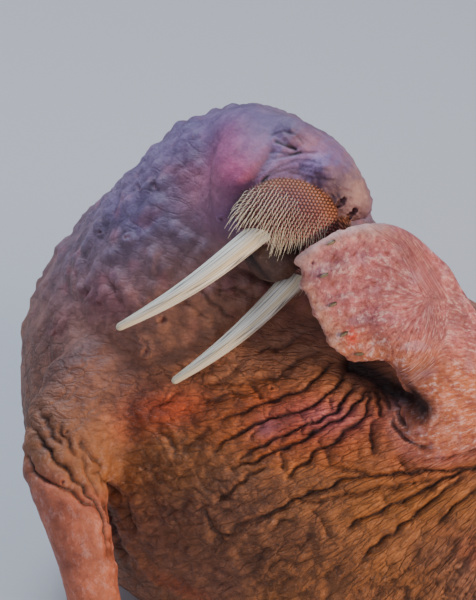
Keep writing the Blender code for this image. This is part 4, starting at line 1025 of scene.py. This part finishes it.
# Each layer is a colour and how much of it each corner takes on, over the layers before it
layers = [
    # Tints by height: the slate above is partly the hide's own colour and partly painted cool light from
    # above, and the ochre and brick red below partly painted warm low light.
    (SLATE, ease(up, -0.05, 0.25)),
    (OCHRE, ease(-up, 0.10, 0.50) * (0.5 + 0.4 * ripple(corners, 0.35, 20))),
    (BRICK, 0.5 * ease(ripple(corners, 0.22, 21), 0.5, 1.4) * ease(-up, 0.0, 0.3)),
]
for x, y, wide, tall, colour, amount in PATCHES:
    layers.append((colour, shown * amount * blot(in_view, (x, y), (wide, tall), smudge)))
layers += [
    ((0.47, 0.17, 0.115), right_arm * shin * 0.9),
    (MAUVE, 0.25 * rosy),
    # Painted highlight on the bosses' tops
    ((0.34, 0.30, 0.46), 0.40 * boss_sky_highlight),
]
for x, y, wide, tall, colour, amount in FACE_PATCHES:
    layers.append((colour, face * amount * blot(face_view, (x, y), (wide, tall))))
layers += [
    ((0.115, 0.070, 0.055), chin),
    ((0.24, 0.080, 0.090), pad),
    ((0.50, 0.19, 0.055), pad * band(face_view, PAD_EDGE, 11)),
    ((0.60, 0.23, 0.27), left_arm * (0.85 + 0.1 * ripple(corners, 0.08, 23))),
    ((0.56, 0.21, 0.09), left_arm * ease(down - 0.25 * (across - 300), 290, 340) * 0.8),
    ((0.34, 0.13, 0.16), left_arm * ease(streak, 0.3, 1.5) * 0.6),
    ((0.78, 0.42, 0.36), left_arm * ease(-streak, 0.3, 1.5) * 0.6),
    ((0.55, 0.34, 0.45), left_arm * ease(ripple(corners, 0.05, 26), 0.6, 1.5) * 0.5),
    ((0.76, 0.52, 0.47), edge_band),
    ((0.55, 0.33, 0.26), left_hand * band(in_view, HAND_TIP_LINE, 8) * 0.8),
    ((0.40, 0.19, 0.15), feet * 0.8),
    ((0.62, 0.03, 0.02), left_hand * blot(in_view, (352, 338), (5, 9)) * 0.8),
]
tone = np.tile(np.array(TAWNY), (len(corners), 1))
for colour, amount in layers:
    tone = tone + (np.array(colour) - tone) * np.clip(amount, 0, 1)[:, None]
grey = tone.mean(axis=1)[:, None]
tone = np.clip(grey + (tone - grey) * VIVID, 0.008, 0.9)

# Painted shade: how much each corner is darkened in the folds, cracks and grooves between bosses, in the
# armpit, in the furrows of cheek and throat, in the eye's slit and folds, and round the pad.
crease = np.maximum.reduce([
    0.5 * fold_groove * depth_of_folds, groove, 0.30 * lump_groove * lumpy, 0.45 * net_groove * netted,
    0.12 * crack_groove * trunk_only * folded, 1.1 * pit, 0.5 * furrow, throat * 0.8, slit,
    0.6 * eye_fold, 0.25 * above_pad * ring, 0.8 * pad_rim,
])
lined = 0.35 + 0.65 * trunk_only * folded
lined = lined * (1 - 0.6 * face) * (1 - 0.9 * pad) * (1 - 0.4 * right_arm)


def new_piece(name, places, faces, finish):
    """A smooth mesh object at the origin, from its corners' places and its faces."""
    mesh = bpy.data.meshes.new(name)
    mesh.from_pydata(places, [], faces)
    mesh.materials.append(finish)
    mesh.polygons.foreach_set("use_smooth", np.ones(len(mesh.polygons), bool))
    made = bpy.data.objects.new(name, mesh)
    bpy.context.scene.collection.objects.link(made)
    return made


def give(piece, **fields):
    """Store values for each corner under the names that the material reads them by. Those with
    three columns are vectors, and those with four are colours."""
    kinds = {1: ("FLOAT", "value"), 3: ("FLOAT_VECTOR", "vector"), 4: ("FLOAT_COLOR", "color")}
    for name, values in fields.items():
        kind, field = kinds[values.size // len(values)]
        attribute = piece.data.attributes.new(name, kind, "POINT")
        attribute.data.foreach_set(field, np.ascontiguousarray(values, np.float32).reshape(-1))


class Steps:
    """Short names for the steps of a material. What feeds a step is a socket or a plain value."""

    VECTORS = "ShaderNodeVectorMath"

    def __init__(self, tree):
        self.tree = tree

    def feed(self, socket, value):
        """Link a socket to the one that gives its value, or set the value on it."""
        if isinstance(value, bpy.types.NodeSocket):
            self.tree.links.new(value, socket)
        else:
            socket.default_value = value

    def node(self, kind, **values):
        """A node. Names that start small are its settings, and the others are its sockets."""
        made = self.tree.nodes.new(kind)
        for name, value in values.items():
            if name[0].islower():
                setattr(made, name, value)
            else:
                self.feed(made.inputs[name.replace("_", " ")], value)
        return made

    def attribute(self, name, output="Fac"):
        """A value that the mesh holds for each corner."""
        return self.node("ShaderNodeAttribute", attribute_name=name).outputs[output]

    def noise(self, place, scale, detail, roughness=0.5):
        """Clouds of a size, from 0 to 1."""
        made = self.node("ShaderNodeTexNoise", Vector=place, Scale=scale, Detail=detail, Roughness=roughness)
        return made.outputs["Fac"]

    def maths(self, operation, *sides, kind="ShaderNodeMath"):
        """A sum, product or other step on numbers or vectors."""
        made = self.node(kind, operation=operation)
        for socket, value in zip(made.inputs, sides):
            self.feed(socket, value)
        return made.outputs[0]

    def times(self, one, other):
        """The product of two numbers."""
        return self.maths("MULTIPLY", one, other)

    def total(self, parts):
        """The sum of all the parts."""
        result = parts[0]
        for part in parts[1:]:
            result = self.maths("ADD", result, part)
        return result

    def ranged(self, value, low, high, start=0.0, stop=1.0):
        """A value carried from one range to another, and held at its ends."""
        ends = {"From_Min": low, "From_Max": high, "To_Min": start, "To_Max": stop}
        return self.node("ShaderNodeMapRange", Value=value, **ends).outputs["Result"]

    def mixed(self, factor, one, other, blend="MIX"):
        """A mix of two colours. Plain ones are red, green and blue."""
        made = self.node("ShaderNodeMix", data_type="RGBA", blend_type=blend)
        for index, value in ((0, factor), (6, one), (7, other)):
            self.feed(made.inputs[index], (*value, 1.0) if isinstance(value, tuple) else value)
        return made.outputs[2]

    def layered(self, colour, layers):
        """A colour with others mixed over it in turn, each by its own amount."""
        for amount, shade in layers:
            colour = self.mixed(amount, colour, shade)
        return colour

    def bump(self, height, strength, distance):
        """The way the surface faces where a height in shares of a distance roughens it."""
        made = self.node("ShaderNodeBump", Strength=strength, Distance=distance, Height=height)
        return made.outputs[0]


def fine_cells():
    """Edge lines of fine cells: the distance to the nearest edge as a share of the line's width,
    at most 1. The cells are bent by clouds a little larger than they are."""
    tree = bpy.data.node_groups.new("fine_cells", "ShaderNodeTree")
    for name, way, kind in (
        ("Vector", "INPUT", "Vector"), ("Scale", "INPUT", "Float"),
        ("Width", "INPUT", "Float"), ("Line", "OUTPUT", "Float"),
    ):
        tree.interface.new_socket(name, in_out=way, socket_type="NodeSocket" + kind)
    step = Steps(tree)
    given = step.node("NodeGroupInput").outputs
    scaled = step.maths("MULTIPLY", given["Vector"], given["Scale"], kind=step.VECTORS)
    clouds = step.node("ShaderNodeTexNoise", Vector=scaled, Scale=1.3, Detail=2.0).outputs["Color"]
    bent = step.maths("MULTIPLY_ADD", clouds, (0.9, 0.9, 0.9), scaled, kind=step.VECTORS)
    cells = step.node("ShaderNodeTexVoronoi", feature="DISTANCE_TO_EDGE", Vector=bent, Scale=1.0)
    share = step.maths("DIVIDE", cells.outputs["Distance"], given["Width"])
    clipped = step.node("ShaderNodeClamp", Value=share).outputs[0]
    step.feed(step.node("NodeGroupOutput").inputs["Line"], clipped)
    return tree


def hide_material():
    """Colour from the hide's own tones, mottled and lined by its grain, with pores, and with painted
    shade in its fine lines, its creases and the hollows of the pad. The mounds between the bristles
    are a sum of three cosines on the lattice of their roots."""
    made, shader = new_finish("walrus_hide", Specular_IOR_Level=0.36)
    step = Steps(made.node_tree)
    grain, lined = step.attribute("grain", "Vector"), step.attribute("lined")
    flipper, tone = step.attribute("flipper"), step.attribute("tone", "Color")
    where = step.node("ShaderNodeTexCoord").outputs["Object"]

    spot = step.node("ShaderNodeSeparateXYZ", Vector=step.attribute("lattice", "Vector")).outputs
    turns = [step.times(spot[axis], 2 * math.pi) for axis in (0, 1)]
    turns.append(step.maths("ADD", *turns))
    waves = step.total([step.maths("COSINE", turn) for turn in turns])
    mound = step.times(step.ranged(waves, -1.4, 2.4), spot[2])
    pit = step.maths("SUBTRACT", spot[2], mound)

    cells = fine_cells()
    stretched = step.maths("MULTIPLY", grain, (1.0, 0.36, 0.36), kind=step.VECTORS)
    wide, narrow, pores = [
        step.node("ShaderNodeGroup", node_tree=cells, Vector=place, Scale=scale, Width=width).outputs["Line"]
        for place, scale, width in ((stretched, 52.0, 0.16), (stretched, 120.0, 0.22), (where, 230.0, 0.25))
    ]
    rift, thread = [step.times(step.maths("SUBTRACT", 1.0, line), lined) for line in (wide, narrow)]
    blotch = step.noise(where, 14.0, 6.0, 0.65)
    fleck = step.noise(where, 120.0, 5.0, 0.70)
    streaks = step.noise(grain, 60.0, 8.0, 0.70)

    light = step.mixed(1.0, tone, (1.30, 1.16, 1.05), "MULTIPLY")
    dark = step.mixed(1.0, tone, (0.52, 0.46, 0.50), "MULTIPLY")
    colour = step.layered(step.mixed(step.ranged(blotch, 0.30, 0.70), dark, light), [
        (step.ranged(fleck, 0.55, 0.75, 0.0, 0.35), (0.55, 0.36, 0.30)),
        (step.ranged(fleck, 0.45, 0.25, 0.0, 0.45), (0.06, 0.035, 0.035)),
        (step.times(step.ranged(streaks, 0.52, 0.64, 0.0, 0.75), flipper), (0.86, 0.55, 0.52)),
        (step.times(step.ranged(streaks, 0.47, 0.36, 0.0, 0.80), flipper), (0.27, 0.065, 0.045)),
        # Painted shade in the fine lines of the grain and in the creases
        (step.times(rift, 0.30), (0.030, 0.016, 0.014)),
        (step.times(thread, 0.22), (0.05, 0.026, 0.022)),
        (step.ranged(step.attribute("crease"), 0.15, 0.95, 0.0, 0.93), (0.014, 0.008, 0.008)),
        (step.times(mound, 0.45), (0.70, 0.34, 0.30)),
        # Painted shade in the hollows between the pad's mounds
        (step.ranged(pit, 0.45, 0.95, 0.0, 0.85), (0.030, 0.010, 0.010)),
        (step.attribute("sore"), (0.11, 0.012, 0.010)),
    ])
    height = step.total([
        step.times(wide, lined), step.times(step.times(narrow, lined), 0.40),
        step.times(pores, 0.10), step.times(fleck, 0.55), step.times(mound, 1.6),
        step.times(streaks, step.times(flipper, 2.0)),
    ])
    step.feed(shader["Base Color"], colour)
    step.feed(shader["Normal"], step.bump(height, 0.75, 0.0032))
    step.feed(shader["Roughness"], step.ranged(fleck, 0.3, 0.7, 0.42, 0.68))
    return made


# Bristles stand on a staggered lattice over each pad: its steps as shares of the pad's half sizes
BRISTLE_STEP = (0.073, 0.097)
pad_place = (side - PAD_CENTRE) @ pad_axes().T / PAD_RADII
row = pad_place[:, 1] / BRISTLE_STEP[1]
hide = new_piece("hide", corners + HOME, faces, hide_material())
give(
    hide, tone=np.column_stack([tone, np.ones(len(tone))]), crease=crease, sore=np.clip(sore, 0, 1),
    lattice=np.column_stack([pad_place[:, 0] / BRISTLE_STEP[0] - row / 2, row, pad]), grain=grain,
    lined=lined, flipper=np.maximum(left_arm * (1 - 0.7 * edge_band), 0.6 * feet) + 0.3 * right_arm,
)
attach(hide, "root")
FLESH = ["neck", "chest", "belly", "hips", "tail", "head"]
for word in ("left", "right"):
    FLESH += ["arm_" + word, "hand_" + word, "hind_flipper_" + word, "whisker_pad_" + word]
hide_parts(*FLESH)

# Tusks
# Long canine teeth of ivory, set in the upper jaw. They are rounded, a little flattened, and
# checked lengthwise by fine dark cracks.
TUSK_EXIT = np.array([-0.060, 0.089, -0.169])
TUSK_TIP = np.array([-0.164, 0.118, -0.496])
TUSK_ROOT = 0.045
TUSK_RADIUS = 0.026
TUSK_BOW = 0.016
TUSK_RINGS, TUSK_SIDES = 90, 48
TIP_RINGS = 14
TUSK_FLAT = 0.90


def rods(paths, radii, sides, lean, flat=1.0):
    """Round rods along many paths at once. Each ring is its place on the path, plus the radius
    times the cosine and the sine of its turn on two axes square to the path. The first axis is
    also square to lean, and the second is flattened. Returns corners and faces."""
    run = unit_rows(np.gradient(paths, axis=1))
    aside = unit_rows(np.cross(run, lean))
    over = np.cross(aside, run) * flat
    turn = np.linspace(0, 2 * math.pi, sides, endpoint=False)[:, None]
    ring = aside[:, :, None] * np.cos(turn) + over[:, :, None] * np.sin(turn)
    places = paths[:, :, None] + ring * radii[..., None, None]
    index = np.arange(places.size // 3).reshape(places.shape[:3])
    after = np.roll(index, -1, axis=2)
    quads = np.stack([index[:, :-1], after[:, :-1], after[:, 1:], index[:, 1:]], -1)
    ends = [*index[:, 0, ::-1].tolist(), *index[:, -1].tolist()]
    return places.reshape(-1, 3), [*quads.reshape(-1, 4).tolist(), *ends]


def tusk_rows(side):
    """Centres and radii from the root to the blunt tip, bowed forward as a half sine."""
    start, stop = TUSK_EXIT * (1, side, 1), TUSK_TIP * (1, side, 1)
    length = np.linalg.norm(stop - start)
    aim = (stop - start) / length
    bow = unit(np.array([1.0, 0.0, 0.0]) - aim * aim[0])
    part = np.linspace(-TUSK_ROOT / length, 1.0, TUSK_RINGS)
    left = (1 - np.linspace(1 / TIP_RINGS, 1, TIP_RINGS)) ** 1.6
    part[-TIP_RINGS:] = 1.0 - (1 - part[-TIP_RINGS - 1]) * left
    inside = np.maximum(part, 0.0)
    from_tip = np.clip((1 - part) * length / (TUSK_RADIUS * 0.36), 0, 1)
    radius = TUSK_RADIUS * (1 - inside ** 1.6 * 0.68)
    radius = radius * np.sqrt(np.clip(1 - (1 - from_tip) ** 2, 0.0008, 1))
    place = start + (stop - start) * part[:, None]
    place = place + bow * (TUSK_BOW * np.sin(math.pi * inside))[:, None]
    return NOSE + place @ HEAD_AXES + HOME, radius, part


def ivory_material():
    """Cream ivory, browner at the root and tip, with long dark cracks from the tusk's own map."""
    made, shader = new_finish("ivory")
    step = Steps(made.node_tree)
    grain, along = step.attribute("grain", "Vector"), step.attribute("along")
    streaks, stain = step.noise(grain, 1.0, 5.0, 0.6), step.noise(grain, 0.45, 4.0, 0.55)
    cells = step.node("ShaderNodeTexVoronoi", feature="DISTANCE_TO_EDGE", Vector=grain, Scale=0.9)
    crack = step.ranged(cells.outputs["Distance"], 0.085, 0.02, 0.0, 0.9)
    crack = step.times(crack, step.ranged(streaks, 0.40, 0.52))
    cream = step.mixed(step.ranged(streaks, 0.35, 0.65), (0.82, 0.72, 0.50), (0.94, 0.92, 0.86))
    colour = step.layered(cream, [
        (step.ranged(stain, 0.48, 0.66, 0.0, 0.7), (0.78, 0.58, 0.25)),
        (step.ranged(along, 0.80, 1.0, 0.0, 0.55), (0.62, 0.49, 0.26)),
        (step.ranged(along, 0.10, 0.0, 0.0, 0.35), (0.50, 0.42, 0.30)),
        (crack, (0.10, 0.085, 0.075)),
    ])
    step.feed(shader["Base Color"], colour)
    step.feed(shader["Normal"], step.bump(step.maths("SUBTRACT", streaks, crack), 0.35, 0.001))
    step.feed(shader["Roughness"], step.ranged(streaks, 0.3, 0.7, 0.28, 0.48))
    return made


ivory = ivory_material()
turn = np.tile(np.linspace(0, 2 * math.pi, TUSK_SIDES, endpoint=False), TUSK_RINGS)
for side_sign, word in ((-1, "right"), (1, "left")):
    centres, radii, part = tusk_rows(side_sign)
    places, quads = rods(centres[None], radii[None], TUSK_SIDES, (0.0, 0.0, 1.0), TUSK_FLAT)
    tusk = new_piece("ivory_tusk_" + word, places, quads, ivory)
    length = np.repeat(part, TUSK_SIDES)
    tusk_grain = np.column_stack([4 * np.cos(turn), 4 * np.sin(turn), 1.4 * length])
    give(tusk, along=np.clip(length, 0, 1), grain=tusk_grain)
    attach(tusk, "root")
    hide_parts("tusk_" + word)

# Bristles
# Stiff horny whiskers in rows across each pad: short stubble by the nose, longest behind and
# below, where they sweep back and down. Each root is sunk a little into the skin.
BRISTLE_THICK = 0.0008
BRISTLE_SINK = 0.004
BRISTLE_RINGS, BRISTLE_SIDES = 8, 5
BRISTLE_LEAN = (0.31, 0.17, 0.93)
TUSK_GAP = 0.036
BAKE_PATCH = 0.003


def bristle_rows(side):
    """Roots on a staggered lattice over the pad, then for each the path of its bristle."""
    generator = np.random.default_rng(40 + side)
    axes = pad_axes() * (1, side, 1)
    centre = np.array(PAD_CENTRE) * (1, side, 1)
    row, column = (grid.ravel() for grid in np.meshgrid(np.arange(-10, 11), np.arange(-18, 19)))
    along = (column + row / 2) * BRISTLE_STEP[0] + generator.normal(0, 0.006, row.size)
    height = row * BRISTLE_STEP[1] + generator.normal(0, 0.008, row.size)
    keep = along ** 2 + height ** 2 < 0.90
    along, height = along[keep], height[keep]
    rise = np.sqrt(np.clip(1 - along ** 2 - height ** 2, 0.03, 1))
    dome = np.column_stack([along, height, rise])
    spot = centre + (dome * PAD_RADII) @ axes
    root = settle(body, on_head(spot), 3)
    outward = unit_rows((dome / PAD_RADII) @ axes) @ HEAD_AXES
    length = 0.009 + 0.012 * ease(along, -0.45, 0.35) + 0.012 * ease(-height, 0.1, 0.85)
    length += 0.018 * ease(along, 0.30, 0.95) ** 1.5
    length *= generator.uniform(0.80, 1.15, len(length))
    droop = 0.25 * axes[0] - 0.96 * axes[1] - 0.05 * axes[2]
    droop = unit_rows(droop + generator.normal(0, 0.07, (len(length), 3))) @ HEAD_AXES
    part = np.linspace(0, 1, BRISTLE_RINGS)[None, :, None]
    lean = 0.35 + 0.60 * part
    first = outward[:, None] * (1 - lean / 2) + droop[:, None] * (lean / 2)
    path = root[:, None] - outward[:, None] * BRISTLE_SINK
    path = path + first * part * length[:, None, None] * 1.15
    path = path + droop[:, None] * (part ** 2) * (0.30 * length)[:, None, None]
    clear = np.linalg.norm(spot - TUSK_EXIT * (1, side, 1), axis=1) > TUSK_GAP
    return path[clear], along[clear], height[clear], length[clear]


def horn_material(name, rough, span, root, tip):
    """Horn that goes from its root's colour to its tip's over a span of its length."""
    made, shader = new_finish(name, Roughness=rough)
    step = Steps(made.node_tree)
    part = step.ranged(step.attribute("along"), *span)
    step.feed(shader["Base Color"], step.mixed(part, root, tip))
    return made


def rod_parts(count, rings, sides):
    """How far along its rod each corner of many rods is, from 0 to 1."""
    return np.tile(np.repeat(np.linspace(0, 1, rings), sides), count)


def bake_map(piece, roots):
    """The map for baking: each bristle is a small patch at its root's place on the pad."""
    patch = np.stack(np.broadcast_arrays(
        roots[:, 0, None, None] + np.linspace(0, BAKE_PATCH, BRISTLE_SIDES, endpoint=False),
        roots[:, 1, None, None] + np.linspace(0, BAKE_PATCH, BRISTLE_RINGS)[:, None],
    ), -1).reshape(-1, 2)
    layer = piece.data.uv_layers.new(name="OFBake")
    loops = np.empty(len(piece.data.loops), int)
    piece.data.loops.foreach_get("vertex_index", loops)
    layer.data.foreach_set("uv", patch[loops].ravel().astype(np.float32))


horn = horn_material("bristle_horn", 0.38, (0.05, 0.45), (0.36, 0.25, 0.17), (0.86, 0.79, 0.58))
taper = 1 - 0.72 * np.linspace(0, 1, BRISTLE_RINGS) ** 1.4
for side_sign, word in ((-1, "right"), (1, "left")):
    path, along, height, length = bristle_rows(side_sign)
    thickness = BRISTLE_THICK * taper * (0.8 + 7.0 * length[:, None])
    places, quads = rods(path + HOME, thickness, BRISTLE_SIDES, BRISTLE_LEAN)
    bristles = new_piece("bristles_" + word, places, quads, horn)
    give(bristles, along=rod_parts(len(path), BRISTLE_RINGS, BRISTLE_SIDES))
    bake_map(bristles, np.column_stack([0.5 + 0.45 * along, 0.5 + 0.45 * height]))
    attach(bristles, "root")

# Nails
# Small blunt claws on the back of each digit, well short of its tip. On the raised flipper the
# back is the side towards the camera, and on the others it is up.
NAIL_LENGTH = 0.012
NAIL_ROOT = 0.006
NAIL_RADIUS = 0.0042
NAIL_RINGS, NAIL_SIDES = 7, 12


def nail_rows(limb, thick, back):
    """Path of each nail: out of the skin behind the digit's tip and forward along the digit."""
    paths = []
    part = np.linspace(0, 1, NAIL_RINGS)[:, None]
    lift = back * (-0.004 + 0.0065 * np.sin(math.pi * 0.55 * part))
    for digit in limb.digits:
        line = curve_through(digit, 8)
        spot = line[int(len(line) * 0.80)]
        ahead = unit(line[int(len(line) * 0.90)] - spot)
        root = settle(body, (spot + back * thick)[None], 3)[0]
        paths.append(root + ahead * (part * (NAIL_LENGTH + NAIL_ROOT) - NAIL_ROOT) + lift)
    return np.array(paths)


claw = horn_material("claw_horn", 0.35, (0.0, 1.0), (0.045, 0.035, 0.022), (0.26, 0.20, 0.11))
blunt = NAIL_RADIUS * np.sqrt(np.clip(1 - np.linspace(0, 0.97, NAIL_RINGS) ** 2.5, 0, 1))
straight_up = np.array([0.0, 0.0, 1.0])
for name, limb, thick, back in (
    ("left_hand", LEFT_FORE, 0.015, from_view(0, 0, 1)), ("right_hand", RIGHT_FORE, 0.015, straight_up),
    ("left_foot", LEFT_HIND, 0.018, straight_up), ("right_foot", RIGHT_HIND, 0.018, straight_up),
):
    path = nail_rows(limb, thick, back)
    places, quads = rods(path + HOME, np.tile(blunt, (len(path), 1)), NAIL_SIDES, BRISTLE_LEAN)
    nails = new_piece("nails_" + name, places, quads, claw)
    give(nails, along=rod_parts(len(path), NAIL_RINGS, NAIL_SIDES))
    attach(nails, "root")

# Eyes
# Small wet dark balls, shut behind their lids in this pose. They are the solids themselves, with
# a finish of their own.
eye_finish, eye_shader = new_finish("wet_eye", Roughness=0.06, Coat_Weight=0.6)
step = Steps(eye_finish.node_tree)
depths = step.noise(step.node("ShaderNodeTexCoord").outputs["Object"], 90.0, 2.0)
step.feed(eye_shader["Base Color"], step.mixed(depths, (0.012, 0.008, 0.006), (0.05, 0.02, 0.012)))
for word in ("right", "left"):
    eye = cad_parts["eye_" + word]
    eye.data.materials.clear()
    eye.data.materials.append(eye_finish)
